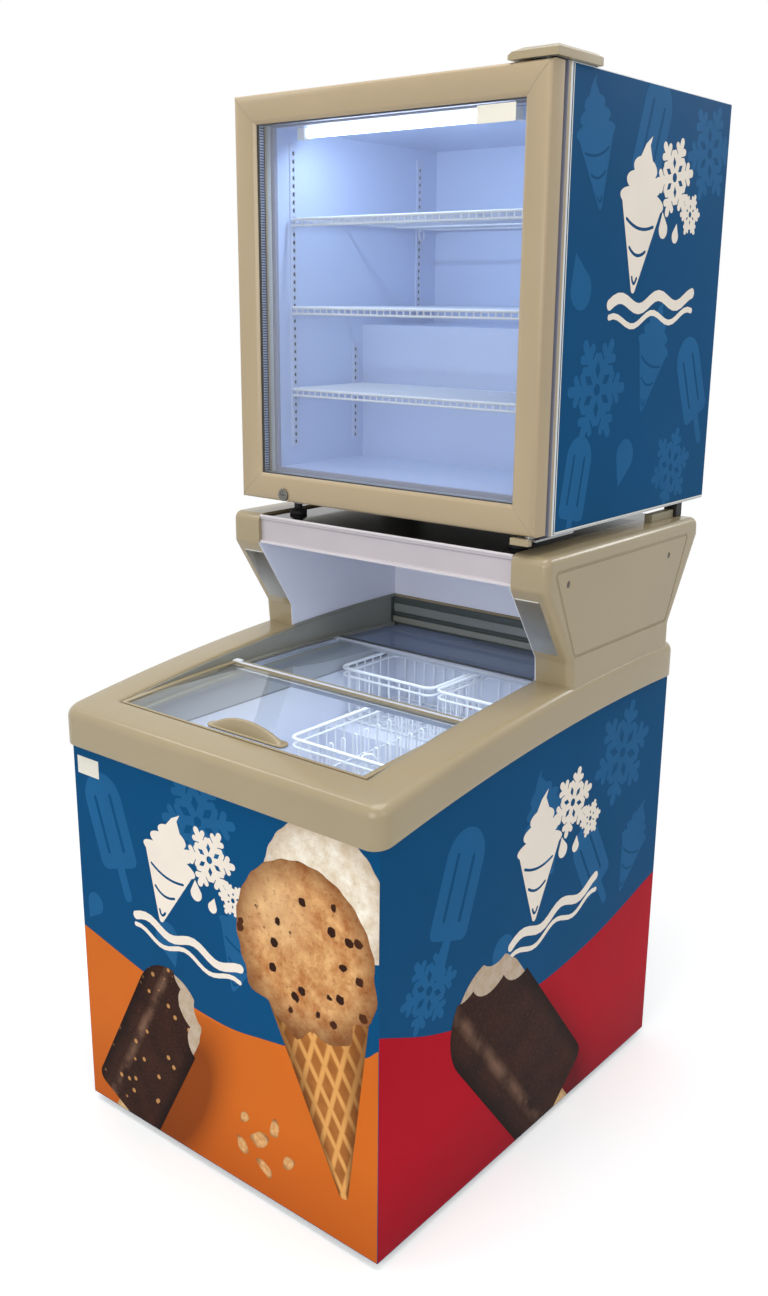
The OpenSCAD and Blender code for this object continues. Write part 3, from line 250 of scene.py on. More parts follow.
def pierced_metal():
    """Drawn metal with a row of small holes along it, the holes sunk in relief and painted dark
    as the shade inside them.
    """
    pitch = 0.0042
    m = Material("pierced_metal")
    lines = m.noise(1.0, 3.0, m.stretched((700, 700, 3)))
    wave = m.math("SINE", m.times(m.math("ADD", m.axis(0), m.axis(2)), 2 * pi / pitch))
    hole = m.between(wave, 0.25, 0.55)
    # Painted shade: the holes take a dark grey for the shade inside them.
    color = m.mix(hole, m.mix(lines, (150, 154, 162), (196, 200, 208)), (52, 55, 62))
    return m.principled(color, m.between(lines, 0.2, 0.8, 0.28, 0.42),
                        m.bump(m.math("SUBTRACT", 1.0, hole), 0.0002), Metallic=0.85)


def chest_enamel():
    """The chest's liner: a grey collar at its top, a groove, and enamel below it, painted darker
    near the collar as shade.
    """
    m = Material("chest_enamel")
    drift = m.noise(4.0, 4.0)
    z = m.axis(2)
    collar = m.tones(drift, (134, 141, 147), (144, 151, 158))
    color = m.tones(drift, (214, 220, 238), (222, 228, 246))
    # Painted shade: from 575 to 660 mm above the floor, the enamel darkens towards the collar's
    # grey, as shade on the upper walls.
    color = m.shade(color, z, 0.575, 0.66, 0.45, collar)
    color = m.shade(color, z, 0.6595, 0.6605, 1.0, (88, 94, 100))
    color = m.shade(color, z, 0.6625, 0.6635, 1.0, collar)
    return m.principled(color, m.uneven(0.31, 0.37, 10.0),
                        m.bump(m.noise(14.0, 1.0), 0.0001), Coat_Weight=0.2)


def tinted_glass():
    """The canopy's tinted top: deep brown-black with a clear reflection and light dust."""
    m = Material("tinted_glass")
    dust = m.noise(60.0, 8.0, rough=0.75)
    color = m.mix(m.between(dust, 0.55, 0.8, 0.0, 0.1), (26, 21, 17), (120, 112, 100))
    return m.principled(color, m.between(m.noise(18.0, 4.0), 0.3, 0.8, 0.03, 0.14),
                        m.bump(m.noise(6.0, 1.0), 0.0003), IOR=1.52,
                        Specular_IOR_Level=0.22)


ORANGE, ORANGE_LOW = (204, 104, 34), (180, 84, 26)
RED, RED_LOW = (174, 8, 32), (134, 16, 34)

# Name, colour, gloss, drift of the colour, grain and its depth in micrometres, soil,
# waviness in micrometres, size of the drift, clear coat
SURFACES = {
    "plate": ("cream_plate", (226, 222, 208), 0.35, 0.02, 500, 20, 0.06),
    "cabinet_liner": ("cabinet_liner", (194, 208, 238), 0.34, 0.012, 0, 0, 0, 100, 4.0, 0.2),
    "inner_edge": ("inner_edge", (150, 152, 172), 0.4, 0.02, 380, 20),
    "white_steel": ("white_sheet", (222, 224, 225), 0.36, 0.02, 260, 20, 0.04, 300),
    "lining": ("lining_sheet", (234, 236, 247), 0.36, 0.015, 240, 20, 0, 200),
    "coated_wire": ("coated_wire", (222, 226, 234), 0.3, 0.02, 500, 40, 0, 0, 20.0, 0.3),
    "body_steel": ("coated_sheet", (150, 152, 153), 0.42, 0.05, 300, 40, 0.2, 500),
    "grille": ("grille_sheet", (206, 209, 211), 0.4, 0.03, 300, 30, 0.12, 300),
    "frame_steel": ("frame_paint", (150, 141, 116), 0.4, 0.03, 260, 40, 0.06),
    "dark_trim": ("dark_trim", (74, 80, 77), 0.38, 0.05, 380, 40, 0.06),
    "mid_trim": ("mid_trim", (128, 132, 128), 0.36, 0.04, 380, 40, 0.06),
    "rail": ("rail_moulding", (140, 140, 130), 0.38, 0.04, 380, 40, 0.05),
    "black": ("black_moulding", (30, 31, 33), 0.45, 0.1, 700, 80, 0.15),
    "rubber": ("black_rubber", (27, 27, 28), 0.62, 0.12, 500, 100, 0.3),
    "seal": ("pale_seal", (196, 198, 196), 0.55, 0.03, 500, 60, 0.08),
    "plug": ("grey_rubber", (138, 143, 150), 0.55, 0.05, 500, 80, 0.15),
    "foam": ("rigid_foam", (226, 214, 168), 0.8, 0.08, 320, 600, 0.2, 0, 12.0),
    "enamel": ("black_enamel", (34, 36, 38), 0.3, 0.08, 300, 40, 0.15, 400, 6.0, 0.4),
    "motor": ("motor_case", (84, 87, 91), 0.45, 0.06, 420, 80, 0.25),
    "fascia_edge": ("fascia_edge", (208, 202, 205), 0.34, 0.02, 380, 20),
    "shelf_steel": ("slotted_upright", (196, 206, 232), 0.36, 0.02, 400, 30, 0.04),
    "holder": ("lamp_holder", (230, 232, 234), 0.4, 0.02, 500, 40),
}
# Name, colour, gloss, the lines' scale along X, Y and Z, metallic share, drift of the
# colour, depth of the lines in micrometres
METALS = {
    "fins": ("black_fins", (52, 54, 57), 0.45, (900, 6, 6), 0.5),
    "copper": ("copper_tube", (190, 118, 66), 0.3, (60, 60, 900), 1.0, 0.14),
    "aluminium": ("drawn_aluminium", (206, 210, 217), 0.3, (3, 700, 700)),
    "strip": ("fascia_strip", (194, 187, 191), 0.4, (2, 800, 800), 0.3, 0.02),
    "lid_strip": ("lid_strip", (222, 229, 243), 0.34, (3, 700, 700), 0.25, 0.03),
    "slope": ("slope_strip", (168, 171, 172), 0.4, (700, 3, 3), 0.4, 0.03),
    "zinc": ("zinc_plate", (152, 155, 157), 0.34, (40, 40, 300), 1.0, 0.12, 40),
    "nickel": ("nickel_plate", (122, 121, 116), 0.2, (300, 300, 30)),
    "screw": ("screw_steel", (92, 92, 90), 0.35, (300, 300, 300)),
}
# Name, tint, gloss, film and its colour
GLAZINGS = {
    "lid_glass": ("lid_glass", (249, 251, 251), 0.03, 0.02),
    "fixed_glass": ("fixed_glass", (232, 236, 240), 0.035, 0.4, (158, 172, 202)),
    "door_glass": ("door_glass", (251, 252, 253), 0.02, 0.006),
}
# Name, colour, drift of the colour and its size
PRINTS = {
    "blue": ("print_blue", (8, 74, 118), 0.03, 3.0),
    "pale_blue": ("print_pale_blue", (30, 93, 140), 0.03, 5.0),
    "cream": ("print_cream", (236, 226, 212), 0.015, 8.0),
    "border": ("print_border", (222, 222, 214), 0.02, 9.0),
    "load_mark": ("load_mark", (186, 40, 52), 0.03, 20.0),
}
MATS = {key: make(*row)
        for make, rows in ((surface, SURFACES), (metal, METALS), (glazing, GLAZINGS))
        for key, row in rows.items()}
for key, (name, rgb, vary, size) in PRINTS.items():
    MATS[key] = surface(name, rgb, 0.46, vary, 220, 20, size=size, rough_vary=0.04,
                        Specular_IOR_Level=0.03)
MATS["beige"] = surface("beige_moulding", (158, 143, 112), 0.2, 0.012, 420, 10,
                        rough_vary=0.03)
# Painted light: the door's moulding is the same beige plastic as the body, given a colour of its
# own for how the door is lit.
MATS["tan"] = surface("door_moulding", (168, 149, 118), 0.3, 0.015, 420, 20, rough_vary=0.03)
MATS["lamp"] = glowing("lit_tube", (225, 234, 255), 6.0)
MATS["tinted"] = tinted_glass()
MATS["pierced"] = pierced_metal()
MATS["liner"] = chest_enamel()


# Lines and rings

def spread(a, b, n):
    return [a + (b - a) * i / n for i in range(n + 1)]


def angles(a0, a1, n):
    return [radians(a) for a in spread(a0, a1, n)]


def whole_turn(n):
    return [2 * pi * k / n for k in range(n)]


def arc(cx, cy, r, a0, a1, n):
    return [(cx + r * cos(a), cy + r * sin(a)) for a in angles(a0, a1, n)]


def ellipse(cx, cy, rx, ry, n=36):
    return [(cx + rx * cos(a), cy + ry * sin(a)) for a in whole_turn(n)]


def box_ring(x0, y0, x1, y1):
    return [(x0, y0), (x1, y0), (x1, y1), (x0, y1)]


def corners(x0, y0, x1, y1, r, n):
    """The four arcs of a rounded rectangle."""
    turns = ((x1 - r, y0 + r, -90), (x1 - r, y1 - r, 0), (x0 + r, y1 - r, 90),
             (x0 + r, y0 + r, 180))
    return [arc(x, y, r, a, a + 90, n) for x, y, a in turns]


def smooth_line(points, n):
    """Points along a curve through the given ones."""
    pts = [Vector(p) for p in points]
    ends = [2 * pts[0] - pts[1]] + pts + [2 * pts[-1] - pts[-2]]
    out = []
    for i in range(1, len(ends) - 2):
        p0, p1, p2, p3 = ends[i - 1:i + 3]
        for k in range(n):
            t = k / n
            out.append(0.5 * (2 * p1 + (p2 - p0) * t + (2 * p0 - 5 * p1 + 4 * p2 - p3) * t * t
                              + (3 * p1 - p0 - 3 * p2 + p3) * t ** 3))
    return [tuple(p) for p in out + [pts[-1]]]


def bent(points, r, n=4):
    """A path whose inner corners are rounded."""
    pts = [Vector(p) for p in points]
    out = [pts[0]]
    for a, b, c in zip(pts, pts[1:], pts[2:]):
        u, v = (a - b), (c - b)
        cut = min(r, u.length * 0.45, v.length * 0.45)
        p, q = b + u.normalized() * cut, b + v.normalized() * cut
        out += [p.lerp(b, t).lerp(b.lerp(q, t), t) for t in spread(0, 1, n)]
    return out + [pts[-1]]


def inset(points, d):
    """A ring drawn in by d."""
    out = []
    n = len(points)
    for i in range(n):
        a = (Vector(points[i]) - Vector(points[i - 1])).normalized()
        b = (Vector(points[(i + 1) % n]) - Vector(points[i])).normalized()
        m = Vector((-a.y - b.y, a.x + b.x))
        out.append(tuple(Vector(points[i]) + m * d / (1 + a.dot(b))))
    return out


def rounded(raw, radii, n):
    """A ring whose corners are rounded, each by its own radius."""
    out = []
    for i, r in enumerate(radii):
        b = Vector(raw[i])
        if not r:
            out.append(tuple(b))
            continue
        u = (Vector(raw[i - 1]) - b).normalized()
        v = (Vector(raw[(i + 1) % len(raw)]) - b).normalized()
        half = acos(u.dot(v)) / 2
        m = b + (u + v).normalized() * r / sin(half)
        p, q = b + u * r / tan(half) - m, b + v * r / tan(half) - m
        turn = pi - 2 * half
        out += [tuple(m + (p * sin(turn * (1 - k / n)) + q * sin(turn * k / n)) / sin(turn))
                for k in range(n + 1)]
    return out


def in_ring(p, ring):
    """Whether a point lies inside a ring."""
    hit = False
    for i in range(len(ring)):
        a, b = ring[i - 1], ring[i]
        if (a[1] > p[1]) != (b[1] > p[1]) and \
                p[0] < (b[0] - a[0]) * (p[1] - a[1]) / (b[1] - a[1]) + a[0]:
            hit = not hit
    return hit


def filled(outlines, holes, near):
    """Triangles over the outlines without the holes. Points nearer than near are one."""
    points, edges = [], []
    for ring in outlines + holes:
        n = len(points)
        points += [Vector(p[:2]) for p in ring]
        edges += [(n + i, n + (i + 1) % len(ring)) for i in range(len(ring))]
    verts, _, faces, *_ = delaunay_2d_cdt(points, edges, [], 1, near)
    kept = []
    for f in faces:
        c = sum((verts[i] for i in f), Vector((0, 0))) / len(f)
        if any(in_ring(c, o) for o in outlines) and not any(in_ring(c, h) for h in holes):
            kept.append(f)
    return verts, kept


# Shapes

class Shape:
    """Collects faces, each with the number of its material, in the chest's millimetres."""

    def __init__(self):
        self.verts, self.faces, self.kinds = [], [], []

    def add(self, verts, faces, kind=0):
        n = len(self.verts)
        self.verts += [tuple(v) for v in verts]
        self.faces += [tuple(n + i for i in f) for f in faces]
        self.kinds += [kind] * len(faces)

    def loft(self, rings, closed=False, caps=True, kind=0):
        n, m = len(rings[0]), len(rings)
        faces = [(k * n + i, k * n + (i + 1) % n, (k + 1) % m * n + (i + 1) % n,
                  (k + 1) % m * n + i) for k in range(m if closed else m - 1) for i in range(n)]
        if caps and not closed:
            faces += [tuple(range(n - 1, -1, -1)), tuple(range((m - 1) * n, m * n))]
        self.add([p for ring in rings for p in ring], faces, kind)

    def block(self, low, high, kind=0, soft=0.0):
        """A box. Its edges are cut by soft."""
        (x0, y0, z0), (x1, y1, z1) = low, high
        s = min([soft] + [(b - a) * 0.24 for a, b in zip(low, high)])
        steps = ((z0, s), (z0 + s, 0), (z1 - s, 0), (z1, s)) if s else ((z0, 0), (z1, 0))
        rings = []
        for z, i in steps:
            a0, b0, a1, b1 = x0 + i, y0 + i, x1 - i, y1 - i
            ring = box_ring(a0, b0, a1, b1)
            if s:
                ring = [(a0 + s, b0), (a1 - s, b0), (a1, b0 + s), (a1, b1 - s),
                        (a1 - s, b1), (a0 + s, b1), (a0, b1 - s), (a0, b0 + s)]
            rings.append([(x, y, z) for x, y in ring])
        self.loft(rings, kind=kind)

    def pair(self, low, high, **more):
        """A block on the right and its mirror image on the left."""
        (x0, *a), (x1, *b) = low, high
        self.block((-x1, *a), (-x0, *b), **more)
        self.block(low, high, **more)

    def tube(self, points, r, sides, closed=False):
        """A round bar along points, its rings carried along without twist."""
        pts = [Vector(p) for p in points]
        n = len(pts)
        along = []
        for i in range(n):
            a = pts[i - 1] if closed or i else pts[0]
            b = pts[(i + 1) % n] if closed or i < n - 1 else pts[-1]
            along.append((b - a).normalized())
        side = along[0].orthogonal().normalized()
        rings = []
        for p, t in zip(pts, along):
            side = (side - t * side.dot(t)).normalized()
            other = t.cross(side)
            rings.append([p + r * (side * cos(a) + other * sin(a)) for a in whole_turn(sides)])
        self.loft(rings, closed=closed)

    def object(self, name, body, mats, slot, replaces=(), smooth=35.0):
        mesh = bpy.data.meshes.new(name)
        mesh.from_pydata([put(*v) for v in self.verts], [], self.faces)
        for m in mats:
            mesh.materials.append(MATS[m])
        mesh.polygons.foreach_set("material_index", self.kinds)
        bm = bmesh.new()
        bm.from_mesh(mesh)
        bmesh.ops.recalc_face_normals(bm, faces=bm.faces)
        bm.to_mesh(mesh)
        bm.free()
        finished(mesh, name, body, slot, replaces, smooth)


def finished(mesh, name, body, slot, replaces, smooth=35.0, bevel=0.0):
    """Links a mesh, rounds its sharp edges, hangs it on its body, and hides the parts it
    replaces.
    """
    obj = linked(name, mesh)
    if bevel:
        rounding = obj.modifiers.new("rounding", "BEVEL")
        rounding.width = bevel / 1000
        rounding.segments = 2
        rounding.limit_method = "ANGLE"
        rounding.angle_limit = radians(35)
        rounding.harden_normals = False
        graph = bpy.context.evaluated_depsgraph_get()
        mesh = bpy.data.meshes.new_from_object(obj.evaluated_get(graph))
        obj.modifiers.clear()
        obj.data = mesh
    mesh.shade_smooth()
    mesh.set_sharp_from_angle(angle=radians(smooth))
    if bevel:
        weights = obj.modifiers.new("weights", "WEIGHTED_NORMAL")
        weights.keep_sharp = True
        weights.weight = 80
    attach(obj, body)
    if replaces:
        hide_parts(*replaces)


def dress(node, mat, bevel):
    """A copy of a CAD node with its flat faces joined and its edges rounded."""
    mesh = NODES[node].data.copy()
    mesh.name = node + "_shape"
    bm = bmesh.new()
    bm.from_mesh(mesh)
    bmesh.ops.remove_doubles(bm, verts=bm.verts, dist=0.00002)
    bmesh.ops.dissolve_limit(bm, angle_limit=radians(1.0), verts=bm.verts, edges=bm.edges)
    bm.to_mesh(mesh)
    bm.free()
    mesh.materials.clear()
    mesh.materials.append(MATS[mat])
    mesh.polygons.foreach_set("material_index", [0] * len(mesh.polygons))
    finished(mesh, mesh.name, BODY[node], SLOT[node], (node,), bevel=bevel)


def repaint(node, mat, chosen):
    """Gives the chosen faces of a dressed node a second material."""
    mesh = bpy.data.objects[node + "_shape"].data
    mesh.materials.append(MATS[mat])
    for face in mesh.polygons:
        if chosen(face):
            face.material_index = 1


def paint(node, mat):
    """A CAD node that stays as it is, in its material."""
    data = NODES[node].data
    data.materials.clear()
    data.materials.append(MATS[mat])


# Sizes that the part's source holds

HALF_W, CHEST_D = 320, 794
SEAM_TOP, SEAM_R, SEAM_APEX = 708, 4128, 690
FRAME_H = 60
OPEN_HALF, OPEN_FRONT, OPEN_END = 258, 48, 750
LID_APEX, LID_R = 430, 4900
LID_CZ = SEAM_TOP + 22 - LID_R
UPPER_R, LOWER_R = 4894, 4884
CANOPY_HALF, CANOPY_INNER, CANOPY_TOP = 326, 262, 976
UP_HALF, UP_Z, UP_FRONT, UP_BACK = 300, 1000, 424, 920
DOOR_FRONT, DOOR_T, DOOR_BAR = 370, 32, 44
DOOR_LOW, DOOR_HIGH = 1004, 1646


def seam_z(y):
    return SEAM_TOP - SEAM_R + sqrt(SEAM_R ** 2 - (y - SEAM_APEX) ** 2)


# Top frame: its moulding drawn round a path with rounded corners

def round_path(half, y0, y1, r):
    """Points round a rectangle, with as many on its two long sides whatever its size."""
    steps = 36
    arcs = corners(-half, y0, half, y1, r, 8)
    out = []
    for k, points in enumerate(arcs):
        out += points
        if k in (0, 2):
            (xa, ya), (xb, yb) = points[-1], arcs[k + 1][0]
            out += list(zip(spread(xa, xb, steps), spread(ya, yb, steps)))[1:-1]
    return out


def top_frame():
    outer_r, inner_r, skirt_h = 16, 6, 20.3
    rings = []
    for outer, inner, skirt in zip(round_path(HALF_W + 10, -12, CHEST_D + 6, 26),
                                   round_path(OPEN_HALF, OPEN_FRONT, OPEN_END, 3),
                                   round_path(HALF_W + 0.3, -0.3, CHEST_D + 0.3, 1)):
        outer, inner = Vector(outer), Vector(inner)
        d = (inner - outer).length
        u = (inner - outer) / d
        line = [(1.2, 0), (0.3, 0.4), (0, 1.4), (0, 14), (0, 30)]
        line += [(outer_r - outer_r * cos(a), FRAME_H - outer_r + outer_r * sin(a))
                 for a in angles(0, 90, 9)]
        line += [(outer_r + (d - outer_r - inner_r) * t, FRAME_H + 0.6 * sin(pi * t))
                 for t in (0.3, 0.7)]
        line += [(d - inner_r + inner_r * sin(a), FRAME_H - inner_r + inner_r * cos(a))
                 for a in angles(0, 90, 5)]
        ring = []
        for a, h in line + [(d, 40), (d, skirt_h)]:
            p = outer + u * a
            ring.append((p.x, p.y, seam_z(p.y) + h))
        rings.append(ring + [(*skirt, seam_z(skirt[1]) + h) for h in (skirt_h, 0)])
    shape = Shape()
    shape.loft(rings, closed=True)
    shape.object("top_frame_shape", "cabinet", ["beige"], "beige_plastic", ["top_frame"])


top_frame()


# Brackets: a rounded block whose outline bends in at the neck, with a groove on its side

SCREWS = ((432, 929), (755, 924))


def bracket_ring(d):
    """The bracket's outline drawn in by d, closed below along the top frame's curve."""
    r, steps = 14, 6
    top = CANOPY_TOP
    raw = [(372, top), (372, 922), (450, 800), (457, 600), (780, 600), (775, 803), (862, 945),
           (860, top)]
    front = inset(rounded(raw, [r, r, r, 0, 0, r, r, r], steps), d)
    n = 3 * (steps + 1)
    foot = [(y, seam_z(y) + FRAME_H - 9 + 1.5)
            for y in spread(front[n][0] - 3, front[n + 1][0] - 4, 20)]
    return front[:n] + foot + front[n + 2:]


def flat_region(shape, outline, holes):
    """Fills an outline with holes in the plane of the bracket's outer side."""
    verts, kept = filled([outline], holes, 1e-5)
    shape.add([(CANOPY_HALF, v.x, v.y) for v in verts], kept)


def bracket(name, side):
    r = 12
    shape = Shape()
    ring = bracket_ring(0)
    rings = [[(CANOPY_INNER, *p) for p in ring]]
    rings += [[(CANOPY_HALF - r + r * sin(a), *p) for p in bracket_ring(r * (1 - cos(a)))]
              for a in angles(0, 90, 8)]
    shape.loft(rings, caps=False)
    groove = rounded([(390, 954), (458, 808), (758, 808), (826, 954)], [9] * 4, 5)
    shape.loft([[(CANOPY_HALF - sunk, *p) for p in inset(groove, d)]
                for d, sunk in ((0, 0), (0.8, 1.5), (2.5, 2.1), (4.2, 1.5), (5, 0))],
               caps=False)
    holes = [arc(y, z, 5.4, 0, 345, 23) for y, z in SCREWS]
    flat_region(shape, bracket_ring(r), [groove])
    flat_region(shape, inset(groove, 5), holes)
    for hole, (y, z) in zip(holes, SCREWS):
        wall = [[(CANOPY_HALF - d, y + (p[0] - y) * k, z + (p[1] - z) * k) for p in hole]
                for d, k in ((0, 1), (0.6, 0.93), (5, 0.9))]
        shape.loft(wall, caps=False)
        shape.add([(CANOPY_HALF - 5, y, z)] + wall[-1],
                  [(0, i + 1, (i + 1) % len(hole) + 1) for i in range(len(hole))])
    shape.add([(CANOPY_INNER, *p) for p in ring], [tuple(range(len(ring)))])
    shape.verts = [(side * x, y, z) for x, y, z in shape.verts]
    shape.object(name + "_shape", "cabinet", ["beige"], "beige_plastic", [name], smooth=32)


bracket("bracket_right", 1)
bracket("bracket_left", -1)


# Door frame: a smooth crown drawn round four mitred corners

LOCK_X, LOCK_Z = -199, DOOR_LOW + 12
SPACER = (263.7, 1040, 1610)


def mitred(line, half, z0, z1, y):
    return [[(c0 * (half - a), y + b, z0 + a if c1 < 0 else z1 - a) for a, b in line]
            for c0, c1 in ((-1, -1), (1, -1), (1, 1), (-1, 1))]


def door_frame():
    crown = smooth_line([(0, 7), (1.5, 3.4), (5, 1.1), (12, 0), (24, 0.8), (35, 3.4),
                         (42, 6.5)], 5)
    line = [(0.6, DOOR_T), (0, DOOR_T - 0.6)] + crown
    line += [(DOOR_BAR - a, b) for a, b in (
        (0.5, 7.5), (0, 9), (8, 9), (8, 27), (0, 27), (0, 31.2), (0.6, DOOR_T))]
    shape = Shape()
    shape.loft(mitred(line, UP_HALF, DOOR_LOW, DOOR_HIGH, DOOR_FRONT), closed=True)
    shape.object("door_frame_shape", "door", ["tan"], "beige_plastic", ["door_frame"])
    seams = Shape()
    for c0 in (-1, 1):
        for z0, dz in ((DOOR_LOW, 1), (DOOR_HIGH, -1)):
            seams.tube([(c0 * (UP_HALF - a), DOOR_FRONT + b - 0.02, z0 + dz * a)
                        for a, b in crown], 0.16, 5)
    seams.object("door_mitres", "door", ["dark_trim"], "beige_plastic")


def key_slot_shade():
    # Painted shade: a thin black sheet in the lock's key slot, for the shade inside it.
    shape = Shape()
    shape.block((LOCK_X - 3.4, 368.3, LOCK_Z - 0.7), (LOCK_X + 3.4, 368.6, LOCK_Z + 0.7))
    shape.object("key_slot_shade", BODY["lock_plug"], ["black"], SLOT["lock_plug"])


def door_spacer():
    """The bar between the panes: a pierced metal face with a black seal on its two sides."""
    bar = [(1.3, 0.3), (9.2, 0.3), (9.8, 0.9), (9.8, 9.1), (9.2, 9.7), (1.3, 9.7)]
    shape = Shape()
    shape.loft(mitred(bar, *SPACER, 383), closed=True)
    for y in (383.02, 392.72):
        shape.loft(mitred(box_ring(1.2, 0, 9.4, 0.26), *SPACER, y), closed=True, kind=1)
    shape.object("door_spacer_shape", "door", ["pierced", "black"], SLOT["door_spacer"],
                 ["door_spacer"])


door_frame()
key_slot_shade()
door_spacer()


# Lids

for node, mat, bevel in (("front_lid_glass", "lid_glass", 0), ("rear_lid_glass", "lid_glass", 0),
                         ("fixed_glass", "fixed_glass", 0), ("front_lid_frame", "beige", 0.7),
                         ("rear_lid_frame", "aluminium", 0.7), ("lid_rails", "rail", 0.4),
                         ("rear_trim", "dark_trim", 0.8)):
    dress(node, mat, bevel)


def on_lid(y, r):
    t = asin((y - LID_APEX) / LID_R)
    return LID_APEX + r * sin(t), LID_CZ + r * cos(t)


def lid_caps(name, body, half, r, strips, mats, slot):
    """Strips across a lid's frame: from y0 to y1, up to high over its radius r."""
    soft = 0.3
    shape = Shape()
    for y0, y1, high, kind in strips:
        low, top = r + 8, r + high
        ring = [on_lid(y0, low), on_lid(y0, top - soft), on_lid(y0 + soft, top),
                on_lid(y1 - soft, top), on_lid(y1, top - soft), on_lid(y1, low)]
        shape.loft([[(x, *p) for p in ring] for x in (-half, half)], kind=kind)
    shape.object(name, body, mats, slot)


lid_caps("front_lid_caps", "front_lid", 254, UPPER_R, (
    (292.6, 297.4, 9.1, 0), (298.6, 303.6, 8.7, 1)), ["lid_strip", "frame_steel"], "lid_strip")
lid_caps("rear_lid_caps", "rear_lid", 244, LOWER_R, (
    (549.0, 552.4, 9, 0), (554.6, 558.0, 9, 0), (290.6, 293.6, 8.8, 0)), ["lid_strip"],
    "rear_strip")
clips = Shape()
clip_y, clip_z = on_lid(298, UPPER_R + 8.6)
clips.pair((236, clip_y - 6, clip_z - 0.6), (252, clip_y + 6, clip_z + 2.6), soft=1.0)
clips.object("front_lid_clips", "front_lid", ["holder"], "lid_strip")


def lid_handle():
    """A half-moon grip on a flat foot, laid on the lid's curve."""
    mid_x, mid_y = 10, 67
    foot_half, foot_r, foot = 80, 10, 4
    grip_half, high = 72, 20
    t = asin((mid_y - LID_APEX) / LID_R)
    lid_top = UPPER_R + 0.3 + 6

    def body(rings, kind=0):
        shape.loft([[(mid_x + x, LID_APEX + y * cos(t) + (z + lid_top) * sin(t),
                      LID_CZ - y * sin(t) + (z + lid_top) * cos(t)) for x, y, z in ring]
                    for ring in rings], kind=kind)

    def stadium(z, cut):
        half, r = foot_half - cut, foot_r - cut
        ends = arc(half - r, 0, r, -90, 90, 10) + arc(r - half, 0, r, 90, 270, 10)
        return [(x, y, z) for x, y in ends]

    shape = Shape()
    # Painted shade: the foot's lowest 0.9 mm is set in and dark grey, for the shadow line under
    # the foot.
    body([stadium(0, 0.8), stadium(0.9, 0.8)], kind=1)
    body([stadium(z, cut) for z, cut in (
        (0.9, 0.4), (1.3, 0), (3.0, 0), (3.7, 0.4), (4.0, 1.2))])
    grip_r = (grip_half ** 2 + high ** 2) / (2 * high)
    rings = []
    for x in spread(-71, 71, 44):
        top = max(foot + 0.3, foot + high - grip_r + sqrt(grip_r ** 2 - x * x))
        ring = []
        for a in angles(0, 180, 16):
            c, s = cos(a), max(0, sin(a))
            wide = 4.6 * (1 + 0.5 * (1 - s) ** 2)
            ring.append((x, -copysign(abs(c) ** 0.6, c) * wide, 3.2 + (top - 3.2) * s ** 0.55))
        rings.append(ring)
    body(rings)
    shape.object("front_lid_handle_shape", "front_lid", ["beige", "dark_trim"],
                 "beige_plastic", ["front_lid_handle"], smooth=50)


lid_handle()


# Baskets and shelves of round wire

def wire_ring(x0, y0, x1, y1, r, z):
    """A level rounded rectangle."""
    return [(x, y, z) for points in corners(x0, y0, x1, y1, r, 4) for x, y in points]


def basket(name, x0, y0, w, depth, z0, h, extra=None):
    rim, thin, corner = 3.0, 1.5, 16
    level_pitch, wire_pitch = 120, 24
    a, b = x0 + rim, y0 + rim
    c, d = x0 + w - rim, y0 + depth - rim
    low, high = z0 + rim, z0 + h - rim
    shape = Shape()
    for z, r in ((high, rim), (high - 14, rim * 0.8), (low, rim * 0.8)):
        shape.tube(wire_ring(a, b, c, d, corner, z), r, 10, closed=True)
    levels = ceil(h / level_pitch)
    for k in range(1, levels):
        z = low + (high - low) * k / levels
        shape.tube(wire_ring(a + 1, b + 1, c - 1, d - 1, corner, z), thin, 6, closed=True)
    nx, ny = round(w / wire_pitch), round(depth / wire_pitch)
    for x in spread(a, c, nx)[1:-1]:
        shape.tube(bent([(x, b, high), (x, b, low), (x, d, low), (x, d, high)], 9), thin, 6)
    for y in spread(b, d, ny)[1:-1]:
        shape.tube(bent([(a, y, high), (a, y, low + 2.6), (c, y, low + 2.6), (c, y, high)],
                        9), thin, 6)
    if extra:
        extra(shape, a, b, d, high)
    shape.object(name + "_wires", name, ["coated_wire"], "coated_wire", [name], smooth=60)


def dividers(shape, a, b, d, high):
    """Upright wires of the dividers that hook over the rim, and two bent hooks."""
    for x in (a + 70, a + 140):
        for y in spread(b + 20, d - 20, 7):
            shape.tube(bent([(x, y, high - 90), (x, y, high + 2), (x + 8, y, high + 2),
                             (x + 8, y, high - 90)], 4), 1.3, 6)
        for z in (high - 90, high - 40):
            shape.tube([(x + 4, b + 3, z), (x + 4, d - 3, z)], 1.5, 6)
    for x in (a + 150, a + 215):
        shape.tube(bent([(x, b - 1, high - 34), (x + 3, b + 5, high + 5),
                         (x + 16, b + 16, high + 7), (x + 22, b + 30, high - 20)], 9, 6),
                   1.8, 8)


